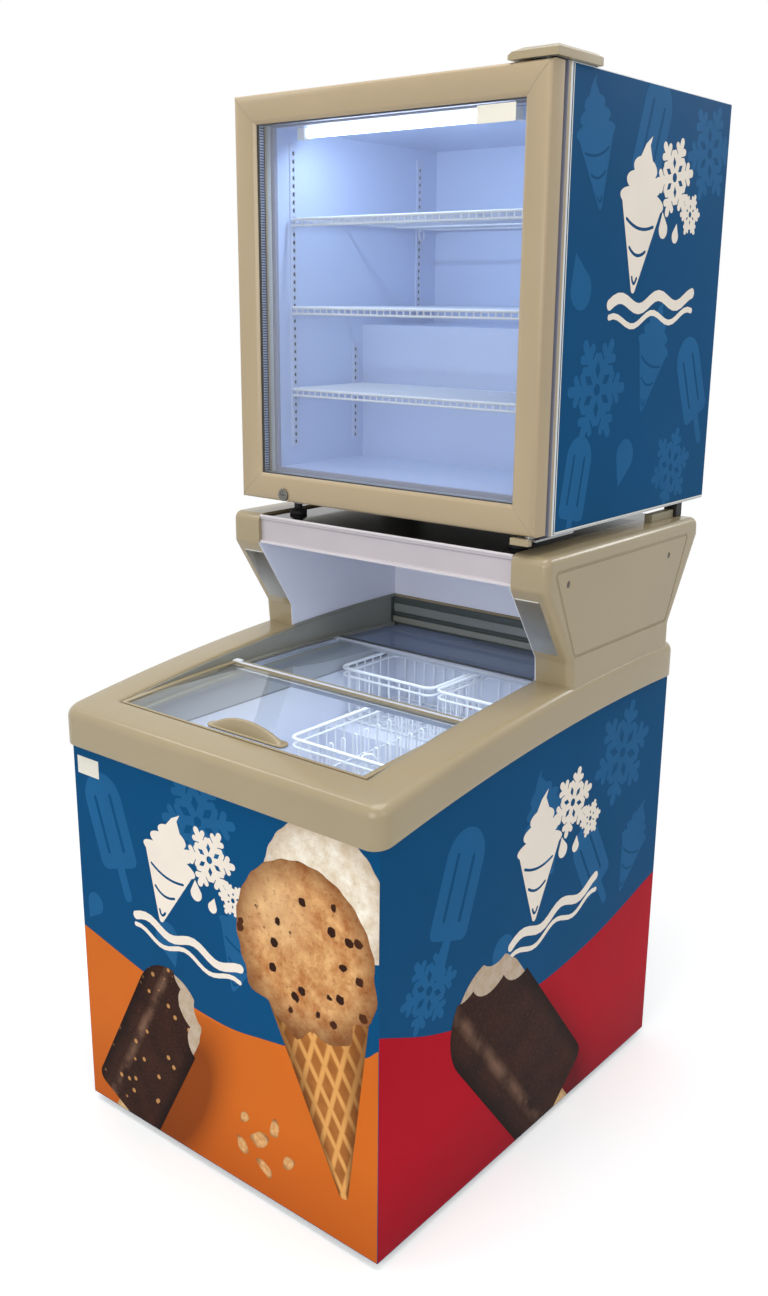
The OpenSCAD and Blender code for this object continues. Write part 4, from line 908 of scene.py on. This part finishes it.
def shelves():
    half, front, wires = 242.5, 440, 36
    low, mid, top = UP_Z + 188, UP_Z + 323, UP_Z + 464
    shape = Shape()
    for level, back in ((low, 630), (mid, 842), (top, 842)):
        z = level - 2.5
        shape.tube(wire_ring(-half, front, half, back, 8, z), 2.5, 10, closed=True)
        shape.tube([(-half + 3, front, z - 10), (half - 3, front, z - 10)], 2.0, 8)
        for q in (0.35, 0.7):
            y = front + (back - front) * q
            shape.tube([(-half, y, z - 1.6), (half, y, z - 1.6)], 1.8, 8)
        for x in spread(-half, half, wires)[1:-1]:
            shape.tube(bent([(x, back, z + 1.2), (x, front - 0.8, z + 1.2),
                             (x, front - 0.8, z - 10.5)], 3.5, 3), 1.25, 6)
    hook_r, hook_y = 7, 796
    for x in (0.5 - half, half - 0.5):
        for level in (mid, top):
            hook = [(x, y, z) for y, z in arc(hook_y, level - 17, hook_r, 180, 360, 8)]
            shape.tube(hook + [(x, hook_y + hook_r, level - 3)], 1.4, 6)
            shape.tube([(x, hook_y - hook_r, level - 3), (x, hook_y - hook_r, level - 17)],
                       1.4, 6)
    shape.object("wire_shelves_wires", "cabinet", ["coated_wire"], "coated_wire",
                 ["wire_shelves"], smooth=60)


def upright_slot_shades():
    """Black plates painted in the rows of slots in the uprights, as the shade inside the slots:
    each row's y, and its lower and upper end.
    """
    pitch = 12.7
    slots = Shape()
    for y, low, high in ((454, 1085, 1580), (613, 1085, 1260), (796, 1312, 1580)):
        for k in range(int((high - low - 20) / pitch) + 1):
            z = low + 10 + k * pitch
            slots.pair((248.1, y - 2.4, z - 2.6), (248.3, y + 2.4, z + 2.6))
    slots.object("upright_slot_shades", "cabinet", ["black"], "shelf_steel")


basket("front_basket", -92, 258, 343, 257, 62.3, 577.7, dividers)
basket("rear_basket_left", -251, 567, 222, 176, 554.3, 106)
basket("rear_basket_right", -24, 567, 222, 176, 554.3, 106)
shelves()
upright_slot_shades()


# The other pieces: copies with rounded edges, or the plain solids where nothing shows

for node, mat, bevel in (
        ("chest_shell", "body_steel", 0.3), ("chest_feet", "rubber", 0.5),
        ("chest_liner", "liner", 0.6), ("wrap_front", "blue", 0),
        ("wrap_sides", "blue", 0), ("chest_label", "plate", 0.3),
        ("chest_fan", "aluminium", 0.3), ("upper_fan", "aluminium", 0.3),
        ("compressors", "enamel", 1.5), ("fan_motors", "motor", 1.0),
        ("rear_grilles", "grille", 0.3), ("chest_thermostat", "black", 0.5),
        ("upper_thermostat", "black", 0.5), ("lamp_switch", "black", 0.5),
        ("power_inlets", "black", 0.5), ("drain_plug", "plug", 0.6),
        ("canopy_lining", "lining", 0.3), ("fascia", "strip", 0.5),
        ("canopy_glass", "tinted", 1.0), ("canopy_frame", "frame_steel", 1.0),
        ("bracket_screws", "screw", 0.4), ("upper_feet", "rubber", 1.0),
        ("upper_shell", "white_steel", 1.2), ("upper_wraps", "blue", 0),
        ("upper_flange", "beige", 1.0), ("upper_liner", "cabinet_liner", 0.6),
        ("door_glass", "door_glass", 0),
        ("door_gasket", "seal", 0.8), ("door_label", "plate", 0.2),
        ("lock_body", "nickel", 0.6), ("lock_plug", "nickel", 0.3),
        ("door_hinges", "zinc", 0.6), ("hinge_cover", "beige", 1.6),
        ("lamp_tube", "lamp", 0), ("lamp_holders", "holder", 1.5),
        ("pilasters", "shelf_steel", 0.3), ("shelf_clips", "shelf_steel", 0.4)):
    dress(node, mat, bevel)


def in_doorway(face):
    z = face.center.z * 1000 - FLOOR_GAP
    return abs(face.center.x) < 0.26 and DOOR_LOW + 20 < z < DOOR_HIGH - 20


repaint("canopy_lining", "slope", lambda f: abs(f.center.x) * 1000 > CANOPY_INNER + 0.5)
repaint("upper_flange", "inner_edge", lambda f: f.normal.y < -0.7 or in_doorway(f))
for node, mat in (("chest_base", "body_steel"), ("chest_foam", "foam"),
                  ("upper_foam", "foam"), ("evaporators", "copper"),
                  ("condensers", "fins")):
    paint(node, mat)


# Canopy and opening: the trims that the part's plain strips carry

def canopy_trims():
    half = CANOPY_INNER - 0.5
    trims = Shape()
    trims.tube([(-half, 377.0, 972.6), (half, 377.0, 972.6)], 2.4, 10)
    trims.block((-half, 374.2, 925.6), (half, 375.2, 929.6), kind=1, soft=0.4)
    trims.object("fascia_trims", "cabinet", ["fascia_edge", "fascia_edge"], "fascia_strip")
    steps = Shape()
    # Painted shade: the thin dark strip from 727.5 to 732 mm, set back under the middle step,
    # stands for the shade under that step.
    for front, back, low, high, kind in ((744.8, 745.9, 752, 763, 0),
                                         (743.2, 745.9, 734, 750.4, 1),
                                         (745.2, 745.9, 727.5, 732, 0),
                                         (740.4, 741.9, 713.5, 725.2, 2)):
        steps.block((-257.5, front, low), (257.5, back, high), kind=kind, soft=0.5)
    steps.pair((256.2, 731.8, 706), (257.9, 745.9, 763.6), soft=0.3)
    profile = ((256.8, -7), (261.6, -7), (261.6, 1.0), (257.4, 1.0), (256.8, 0.4))
    for s in (-1, 1):
        steps.loft([[(s * x, y, seam_z(y) + FRAME_H + h) for x, h in profile]
                    for y in spread(455, 748, 20)], kind=2)
    steps.object("rear_trim_steps", "cabinet", ["dark_trim", "mid_trim", "rail"],
                 SLOT["rear_trim"])
    edges = Shape()
    edges.pair((264, 380.8, 906.2), (306, 383.2, 908.2), soft=0.3)
    edges.object("slope_edges", "cabinet", ["border"], "fascia_strip")


canopy_trims()


# Printed artwork: flat sheets laid a few hundredths of a millimetre apart on the skins

class Panel:
    """A flat side: where it starts, which way is right, and which way is out."""

    def __init__(self, origin, right, out, z0):
        self.o, self.r, self.n = Vector((*origin, z0)), Vector((*right, 0)), Vector((*out, 0))

    def at(self, s, t, lift):
        return self.o + self.r * s + Vector((0, 0, t)) + self.n * lift


FRONT = Panel((0, 0), (1, 0), (0, -1), 0)
INNER_BACK = Panel((0, 748), (1, 0), (0, -1), 0)
SIDES = {"right": Panel((HALF_W, 0), (0, 1), (1, 0), 0),
         "left": Panel((-HALF_W, CHEST_D), (0, -1), (-1, 0), 0)}
UP_SIDES = {"right": Panel((UP_HALF, 0), (0, 1), (1, 0), UP_Z),
            "left": Panel((-UP_HALF, UP_FRONT + UP_BACK), (0, -1), (-1, 0), UP_Z)}

# How far the artwork reaches on each panel
FRONT_X = HALF_W - 0.6
SIDE_0, SIDE_1 = 0.6, CHEST_D - 0.6
UP_0, UP_1, UP_LOW, UP_HIGH = UP_FRONT + 0.5, UP_BACK - 0.5, 2.5, 645.5
FRONT_BOX = ((-FRONT_X, 1), (FRONT_X, 655))
SIDE_BOX = ((SIDE_0, 1), (SIDE_1, 712))
UP_BOX = ((UP_0, UP_LOW), (UP_1, UP_HIGH))
SHADOW_TOP = 262

# How far the sheets stand off the skins
LIFT_SHAPES, LIFT_MARK, LIFT_FIELD = 0.06, 0.1, 0.12
LIFT_SHADOW, LIFT_ART, LIFT_EDGING = 0.16, 0.2, 0.3


def clip(ring, low, high):
    """The part of a ring inside a rectangle."""
    for axis, limit, sign in ((0, low[0], 1), (0, high[0], -1), (1, low[1], 1),
                              (1, high[1], -1)):
        out = []
        for i in range(len(ring)):
            a, b = ring[i - 1], ring[i]
            ina, inb = sign * (a[axis] - limit) >= 0, sign * (b[axis] - limit) >= 0
            if ina != inb:
                k = (limit - a[axis]) / (b[axis] - a[axis])
                out.append((a[0] + (b[0] - a[0]) * k, a[1] + (b[1] - a[1]) * k))
            if inb:
                out.append(tuple(b))
        ring = out
    return ring


def sheet(name, panel, outlines, mat, lift, holes=(), limits=None, local=None):
    """Joins outlines into one flat sheet without the holes. local gives each point its place
    within the motif, for the print's own pattern."""
    if limits:
        outlines, holes = ([clip(r, *limits) for r in rings] for rings in (outlines, holes))
    outlines, holes = ([r for r in rings if len(r) > 2] for rings in (outlines, holes))
    verts, kept = filled(outlines, holes, 1e-4)
    used = sorted({i for f in kept for i in f})
    place = {i: k for k, i in enumerate(used)}
    mesh = bpy.data.meshes.new(name)
    mesh.from_pydata([put(*panel.at(verts[i].x, verts[i].y, lift)) for i in used], [],
                     [tuple(place[i] for i in f) for f in kept])
    art = mesh.attributes.new("art", "FLOAT_VECTOR", "POINT")
    for k, i in enumerate(used):
        art.data[k].vector = local(verts[i].x, verts[i].y) if local else (0, 0, 0)
    mesh.materials.append(MATS[mat])
    for poly in mesh.polygons:
        if poly.normal.dot(panel.n) < 0:
            poly.flip()
    obj = linked(name, mesh)
    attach(obj, "cabinet")


def moved(points, scale=1.0, turn=0.0, shift=(0, 0)):
    c, s = cos(radians(turn)) * scale, sin(radians(turn)) * scale
    return [(shift[0] + x * c - y * s, shift[1] + x * s + y * c) for x, y in points]


def stroke(points, width, caps=6):
    """The outline of a line of the given width, with round ends."""
    pts = [Vector(p) for p in points]
    side = []
    for i in range(len(pts)):
        t = (pts[min(i + 1, len(pts) - 1)] - pts[max(i - 1, 0)]).normalized()
        side.append(Vector((-t.y, t.x)) * width / 2)

    def cap(center, s):
        a0 = atan2(s.y, s.x)
        return [center + Vector((cos(a0 - pi * k / caps), sin(a0 - pi * k / caps))) * width / 2
                for k in range(1, caps)]
    left = [p + s for p, s in zip(pts, side)]
    back = [p - s for p, s in zip(pts, side)]
    return [tuple(p) for p in left + cap(pts[-1], side[-1]) + back[::-1]
            + cap(pts[0], -side[0])]


# Motifs: each gives its rings and its holes

def snowflake(r, width):
    rings = []
    for k in range(6):
        arm = [stroke([(0, 0), (r, 0)], width)]
        for d, l in ((0.42, 0.26), (0.68, 0.22)):
            for s in (-1, 1):
                arm.append(stroke([(r * d, 0), (r * (d + l * 0.6), s * r * l)], width * 0.85))
        rings += [moved(a, turn=60 * k) for a in arm]
    return rings, [ellipse(0, 0, width * 0.55, width * 0.55, 12)]


def lolly(h):
    """Arched ice on a stick, with two grooves."""
    w, low, high = h * 0.24, -h * 0.28, h * 0.25
    ice = ([(w, low), (w, high)] + arc(0, high, w, 10, 170, 12) + [(-w, high), (-w, low)]
           + arc(-w * 0.7, low, w * 0.3, 190, 270, 3) + arc(w * 0.7, low, w * 0.3, 270, 350, 3))
    stick = stroke([(0, -h * 0.3), (0, -h * 0.6)], h * 0.1)
    grooves = [stroke([(x, -h * 0.2), (x, h * 0.28)], h * 0.035)
               for x in (-w * 0.42, w * 0.42)]
    return [ice, stick], grooves


def cornet(h):
    """A cone with a three-tier swirl, and a few cut lines on the cone."""
    w = h * 0.25
    cone = [(-w, 0), (w, 0)] + arc(0, -h * 0.5, h * 0.025, -30, -150, 4)
    tiers = [ellipse(0, h * y, w * wide, h * high) for y, wide, high in (
        (0.03, 1.12, 0.075), (0.13, 0.88, 0.075), (0.22, 0.6, 0.07))]
    tip = [(w * x, h * y) for x, y in (
        (-0.4, 0.24), (0.4, 0.24), (0.12, 0.36), (0.2, 0.42), (-0.1, 0.36))]
    cuts = []
    for low in (0.1, 0.26, 0.43):
        half = w * (1 - low / 0.5) * 0.86
        cuts.append(stroke([(half * t, -h * (low + 0.035 * (1 - t * t)))
                            for t in spread(-1, 1, 8)], h * 0.02))
    return [cone] + tiers + [tip], cuts


def drop(h):
    return [[(0, h * 0.6)] + arc(0, 0, h * 0.32, 20, -200, 22)], []


def gathered(items):
    """The rings and holes of motifs: what, its size, turn and place, a snowflake's width."""
    rings, holes = [], []
    for make, size, turn, shift, *width in items:
        for found, kept in zip(make(size, *width), (rings, holes)):
            kept += [moved(r, turn=turn, shift=shift) for r in found]
    return rings, holes


def scatter(name, panel, limits, items):
    rings, holes = gathered(items)
    sheet(name, panel, rings, "pale_blue", LIFT_SHAPES, holes, limits)


def emblem(name, panel, *place):
    """A generic sign: a cornet between a snowflake and drops, over a waved ribbon."""
    rings, holes = gathered((
        (cornet, 1.9, -8, (-0.28, 0.28)), (snowflake, 0.44, 8, (0.52, 0.62), 0.1),
        (drop, 0.34, 8, (0.28, 0.02)), (drop, 0.26, -12, (0.6, -0.06)),
        (snowflake, 0.24, 0, (0.98, 0.2), 0.065)))
    for k, w in ((0, 0.13), (1, 0.07)):
        rings.append(stroke([(-0.95 + 0.1 * i, -0.82 - 0.2 * k + 0.07 * sin(i * 0.66 + k))
                             for i in range(22)], w, 8))
    rings, holes = ([moved(r, *place) for r in part] for part in (rings, holes))
    sheet(name, panel, rings, "cream", LIFT_ART, holes)


# Patterns of the printed products

class Art(Material):
    """A print whose pattern follows the place within its motif."""

    def __init__(self, name):
        super().__init__(name)
        self.art = self.get("Attribute", out="Vector", attribute_name="art")
        self.u, self.v = self.axis(0, self.art), self.axis(1, self.art)
        self.aside = self.math("ABSOLUTE", self.u)
        self.off_middle = self.get("VectorMath", {0: self.art}, "Value", operation="LENGTH")

    def cells(self, scale):
        return self.node("TexVoronoi", {"Vector": self.art, "Scale": scale}).outputs


def scoop_art(m):
    """Lumps, lit from the upper left, with pits and chips."""
    color = m.tones(m.noise(4.0, 6.0, m.art, 0.68), (178, 112, 62), (226, 176, 118), 0.36, 0.64)
    away = m.get("VectorMath", {0: m.art, 1: (-0.35, 0.45, 0)}, "Value", operation="DISTANCE")
    color = m.shade(color, away, 0.7, 0.05, 0.5, (240, 202, 150))
    color = m.shade(color, m.noise(14.0, 4.0, m.art, 0.7), 0.56, 0.7, 0.6, (132, 76, 40))
    chips = m.math("ADD", m.cells(4.2)[0], m.uneven(-0.06, 0.06, 12.0, 3.0, m.art))
    color = m.shade(color, chips, 0.26, 0.22, 1.0, (50, 28, 20))
    return m.shade(color, m.off_middle, 0.68, 1.05, 0.75, (96, 52, 28))


def waffle_art(m):
    """Two sets of slanted ridges, darker at the sides and under the scoops."""
    slants = [m.math("ADD", m.times(m.u, 2.1 * s), m.v) for s in (-1, 1)]
    ridges = [m.between(m.math("SINE", m.times(a, 30.0)), 0.3, 0.9) for a in slants]
    color = m.tones(m.noise(14.0, 5.0, m.art), (152, 92, 42), (176, 112, 56))
    color = m.mix(m.math("MAXIMUM", *ridges), color, (222, 162, 92))
    across = m.math("DIVIDE", m.aside, m.math("ADD", m.times(m.v, 0.3), 0.33))
    color = m.shade(color, across, 0.45, 1.0, 0.75, (84, 44, 20))
    return m.shade(color, m.v, -0.12, 0.02, 0.6, (84, 44, 20))


def chocolate_art(m, nut_share):
    """A dark coat with a streak of gloss left of its middle, with chopped nuts on the cells
    whose number is over nut_share."""
    flow = m.noise(1.6, 4.0, m.art)
    color = m.tones(flow, (38, 22, 18), (60, 34, 26))
    color = m.shade(color, m.noise(16.0, 6.0, m.art, 0.75), 0.5, 0.7, 0.4, (104, 66, 48))
    streak = m.math("ABSOLUTE", m.math("ADD", m.u, 0.45))
    shine = m.times(m.between(streak, 0.16, 0.0, 0.0, 0.45), m.between(flow, 0.35, 0.6))
    color = m.mix(shine, color, (166, 128, 104))
    away, number = m.cells(4.5)[:2]
    pick = m.get("SeparateColor", {0: number})
    nut = m.times(m.between(away, 0.27, 0.2), m.between(pick, nut_share, nut_share + 0.02))
    color = m.mix(nut, color, (190, 138, 84))
    return m.shade(color, m.aside, 0.7, 1.0, 0.8, (14, 8, 7))


def vanilla_art(m):
    color = m.tones(m.noise(5.0, 5.0, m.art, 0.6), (218, 200, 172), (246, 238, 222), 0.35, 0.65)
    color = m.shade(color, m.cells(20.0)[0], 0.16, 0.1, 0.5, (120, 84, 60))
    return m.shade(color, m.off_middle, 0.7, 1.1, 0.6, (150, 120, 92))


def wood_art(m):
    grain = m.noise(1.0, 4.0, m.stretched((22, 1.5, 1), m.art))
    color = m.mix(grain, (196, 152, 98), (232, 198, 148))
    return m.shade(color, m.aside, 0.14, 0.3, 0.6, (132, 88, 48))


def nut_art(m):
    color = m.tones(m.noise(2.2, 5.0, m.art, 0.6), (186, 124, 70), (236, 190, 130))
    return m.shade(color, m.off_middle, 0.5, 1.05, 0.75, (112, 60, 26))


def field_art(m, rgb, low, shadow=None):
    """A field of colour that darkens towards its lower edge, or a soft shadow on it."""
    color = m.tones(m.noise(3.0, 3.0), scaled(rgb, 0.97), scaled(rgb, 1.03))
    color = m.shade(color, m.axis(2), 0.16, 0.0, 0.6, low)
    if shadow:
        fall = m.between(m.off_middle, 1.0, 0.45, 0.0, 0.85)
        color = m.mix(m.times(fall, fall), color, shadow)
    return color


for name, draw, *more in (
        ("scoop", scoop_art), ("waffle", waffle_art), ("chocolate", chocolate_art, 0.5),
        ("dark_bar", chocolate_art, 1.5), ("vanilla", vanilla_art), ("wood", wood_art),
        ("nut", nut_art), ("orange", field_art, ORANGE, ORANGE_LOW),
        ("orange_shadow", field_art, ORANGE, ORANGE_LOW, (104, 46, 14)),
        ("red", field_art, RED, RED_LOW),
        ("red_shadow", field_art, RED, RED_LOW, (72, 6, 16))):
    m = Art("print_" + name)
    relief = m.bump(m.noise(220.0, 2.0), 20 * MICRO)
    MATS["print_" + name] = m.principled(draw(m, *more), m.uneven(0.38, 0.44, 8.0), relief,
                                         Specular_IOR_Level=0.03)


# Fields, scattered shapes, edgings, the load mark and the signs

def field(name, panel, wave, mat):
    sheet(name, panel, [[(wave[0][0], 1), (wave[-1][0], 1)] + wave[::-1]], mat, LIFT_FIELD)


field("front_orange", FRONT, smooth_line([
    (-FRONT_X, 322), (-135, 281), (7, 266), (101, 277), (212, 299), (288, 325),
    (FRONT_X, 350)], 10), "print_orange")
side_wave = smooth_line([(SIDE_0, 370), (118, 317), (237, 284), (404, 266), (591, 281),
                         (SIDE_1, 326)], 10)
field("right_red", SIDES["right"], side_wave, "print_red")
field("left_red", SIDES["left"], [(CHEST_D - x, y) for x, y in side_wave[::-1]], "print_red")

scatter("front_shapes", FRONT, FRONT_BOX, (
    (lolly, 190, 18, (-236, 520)), (snowflake, 74, 10, (-30, 590), 15),
    (cornet, 190, -14, (60, 430)), (drop, 84, 200, (-110, 372)),
    (snowflake, 58, 0, (196, 352), 12), (drop, 60, 150, (-286, 372))))
for side, panel in SIDES.items():
    scatter(f"{side}_shapes", panel, SIDE_BOX, (
        (lolly, 200, -20, (176, 520)), (cornet, 210, 16, (404, 560)),
        (snowflake, 84, 12, (646, 600), 17), (drop, 90, 170, (300, 372)),
        (lolly, 170, 30, (560, 430)), (cornet, 180, -24, (706, 420)),
        (snowflake, 60, 0, (112, 392), 13)))
for side, panel in UP_SIDES.items():
    scatter(f"upper_{side}_shapes", panel, UP_BOX, (
        (cornet, 190, 12, (492, 560)), (lolly, 180, -18, (656, 572)),
        (snowflake, 70, 8, (852, 566), 15), (drop, 90, 20, (470, 352)),
        (snowflake, 76, 0, (530, 208), 16), (cornet, 190, -16, (700, 262)),
        (lolly, 170, 24, (846, 200)), (drop, 84, 160, (628, 100)),
        (lolly, 150, -12, (480, 70)), (snowflake, 62, 14, (790, 66), 13)))

edging_w, edging_h = 2.2, 2.7
for side, panel in UP_SIDES.items():
    front_0 = UP_0 if side == "right" else UP_1 - edging_w
    sheet(f"upper_{side}_edging", panel, [
        box_ring(front_0, UP_LOW, front_0 + edging_w, UP_HIGH),
        box_ring(UP_0, UP_LOW, UP_1, UP_LOW + edging_h)], "border", LIFT_EDGING)
sheet("liner_load_mark", INNER_BACK, [box_ring(-88, 566, -56, 569),
                                      [(-78, 571), (-66, 571), (-72, 582)]],
      "load_mark", LIFT_MARK)

emblem("front_sign", FRONT, 112, -4, (-70, 470))
for side, panel in SIDES.items():
    emblem(f"{side}_sign", panel, 122, 4, (430, 480))
for side, panel in UP_SIDES.items():
    emblem(f"upper_{side}_sign", panel, 128, 2, (672, 440))


# Products, each in its own frame. A place is millimetres per unit, turn and centre.

def product(name, panel, rings, mat, lift, place, limits, holes=(), squash=1):
    size, turn, (x0, y0) = place
    c, s = cos(radians(turn)) / size, sin(radians(turn)) / size

    def local(x, y):
        x, y = x - x0, y - y0
        return ((x * c + y * s) / squash, y * c - x * s, 0)
    rings, holes = ([moved(r, *place) for r in part] for part in (rings, holes))
    sheet(name, panel, rings, mat, lift, holes, limits, local)


def scoop_ring():
    """A ball of ice with a ragged skirt round its lower half."""
    out = []
    for a in whole_turn(96):
        low = max(0, -sin(a)) ** 0.5
        r = 1 + low * 0.07 * (0.5 + sin(9 * a) + 0.5 * sin(17 * a + 1)) + 0.008 * sin(23 * a)
        out.append((r * cos(a), r * sin(a)))
    return out


def nut_ring(k):
    return [((1 + 0.16 * sin(3 * a + k)) * cos(a), 0.62 * (1 + 0.2 * sin(2 * a + 2 * k)) * sin(a))
            for a in whole_turn(18)]


def bar_ring(grow=0.0):
    w, r = 1 + grow, 0.22
    low = -2.1 + r - grow
    return (arc(0, 1.3, w, 0, 180, 24) + arc(-w + r, low, r, 180, 270, 5)
            + arc(w - r, low, r, 270, 360, 5))


def shadow(name, panel, place, mat, limits):
    """A soft shadow: one unit is its edge, drawn in across the turned axis."""
    squash = 0.42
    product(name, panel, [ellipse(0, 0, squash, 1, 48)], mat, LIFT_SHADOW, place, limits,
            squash=squash)


def coated_bar(prefix, panel, place, limits, mat):
    """A coated bar on a stick, with a bite out of its upper corner."""
    stick = arc(0, -3.2, 0.25, 180, 360, 10) + [(0.25, -2.0), (-0.25, -2.0)]
    outer = [ellipse(0.62, 1.98, 0.62, 0.5), ellipse(1.08, 1.42, 0.5, 0.48),
             ellipse(0.1, 2.45, 0.5, 0.42)]
    inner = [ellipse(0.9, 2.2, 0.5, 0.46), ellipse(1.28, 1.65, 0.42, 0.46),
             ellipse(0.34, 2.62, 0.5, 0.42)]
    for k, (name, ring, look, bite) in enumerate((
            ("_stick", stick, "print_wood", ()),
            ("_ice", bar_ring(-0.07), "print_vanilla", inner),
            ("_coat", bar_ring(), mat, outer))):
        product(prefix + name, panel, [ring], look, LIFT_ART + 0.05 * k, place, limits, bite)


CORNET = (318, 10, (200, 400))
cone = [(-0.34, 0.0), (0.34, 0.0)] + arc(0, -1.0, 0.03, -20, -160, 6)
product("front_cornet_cone", FRONT, [cone], "print_waffle", LIFT_ART, CORNET, FRONT_BOX)
for name, mat, lift, share, spot in (
        ("back_scoop", "print_vanilla", 0.05, 0.36, (0.14, 0.44)),
        ("scoop", "print_scoop", 0.1, 0.42, (-0.03, 0.18))):
    place = (CORNET[0] * share, CORNET[1], moved([spot], *CORNET)[0])
    product("front_cornet_" + name, FRONT, [scoop_ring()], mat, LIFT_ART + lift, place,
            FRONT_BOX)
shadow("front_bar_shadow", FRONT, (260, -28, (-92, 92)), "print_orange_shadow",
       (FRONT_BOX[0], (FRONT_X, SHADOW_TOP)))
coated_bar("front_bar", FRONT, (78, -28, (-158, 150)), FRONT_BOX, "print_chocolate")
for k, place in enumerate(((21, 20, (86, 96)), (17, 80, (118, 130)), (16, 130, (48, 68)),
                           (15, 40, (146, 84)), (18, -30, (96, 50)), (12, 60, (54, 122)))):
    product(f"front_nut_{k}", FRONT, [nut_ring(k)], "print_nut", LIFT_ART, place, FRONT_BOX)
for side, panel in SIDES.items():
    shadow(f"{side}_bar_shadow", panel, (340, 38, (440, 96)), "print_red_shadow",
           (SIDE_BOX[0], (SIDE_1, SHADOW_TOP)))
    coated_bar(f"{side}_bar", panel, (102, 38, (350, 176)), SIDE_BOX, "print_dark_bar")


# Floor, world and lamps

def stage():
    """A floor that pales to white where the camera sees it, and a bright room."""
    floor = bpy.data.meshes.new("floor")
    floor.from_pydata([(x, y, 0) for x, y in box_ring(-30, -30, 30, 30)], [], [(0, 1, 2, 3)])
    white = {"Color": (1, 1, 1, 1)}
    m = Material("floor_paint")
    tint = m.mix(m.noise(1.5, 3.0), (236, 236, 235), (240, 240, 239))
    diffuse = m.get("BsdfDiffuse", {"Color": tint})
    glow = m.get("Emission", {**white, "Strength": 0.3})
    lit = m.get("AddShader", {0: diffuse, 1: glow})
    away = m.get("VectorMath", {0: m.place}, "Value", operation="LENGTH")
    shown = m.layer(m.between(away, 0.7, 1.5), lit,
                    m.get("Emission", {**white, "Strength": 1.0}))
    floor.materials.append(m.finish(m.layer(m.seen_rays(), diffuse, shown)))
    linked("floor", floor)

    scene.world = bpy.data.worlds.new("room")
    w = Nodes(scene.world, "OutputWorld")
    soft = w.get("Background", {0: (0.95, 0.97, 1.0, 1), 1: 0.66})
    clear = w.get("Background", {0: (1, 1, 1, 1), 1: 1.0})
    w.finish(w.layer(w.seen_rays(), soft, clear))


def lamp(name, at, to, size, size_y, power, rgb=(1, 1, 1), in_gloss=True):
    light = bpy.data.lights.new(name, "AREA")
    light.shape = "RECTANGLE"
    light.size, light.size_y = size, size_y
    light.energy = power
    light.color = rgb
    o = linked(name, light)
    aim = (Vector(to) - Vector(at)).to_track_quat("-Z", "Y")
    o.matrix_world = Matrix.Translation(at) @ aim.to_matrix().to_4x4()
    o.visible_camera = False
    o.visible_glossy = in_gloss


stage()
lamp("overhead", (0.1, -0.5, 3.4), (0, 0, 0.8), 2.0, 2.0, 44, (1.0, 0.985, 0.96))
lamp("side_fill", (2.8, -1.4, 2.0), (0, 0, 0.8), 1.6, 1.6, 7)
lamp("front_fill", (0.5, -3.2, 1.5), (0, 0, 0.8), 1.6, 1.6, 24)
lamp("rear_window", (1.2, 2.7, 2.4), (0.3, -0.1, 0.9), 0.8, 0.8, 13)
lamp("left_window", (-1.5, -0.9, 2.6), (0, -0.4, 0.8), 0.3, 1.2, 6)
lamp("cabinet_lamp", put(0, 452, 1582), put(0, 620, 1300), 0.4, 0.02, 0.9, (0.72, 0.88, 1.0),
     False)
lamp("chest_fill", put(0, 400, 690), put(0, 400, 100), 0.44, 0.56, 1.55, (0.9, 0.94, 1.0),
     False)
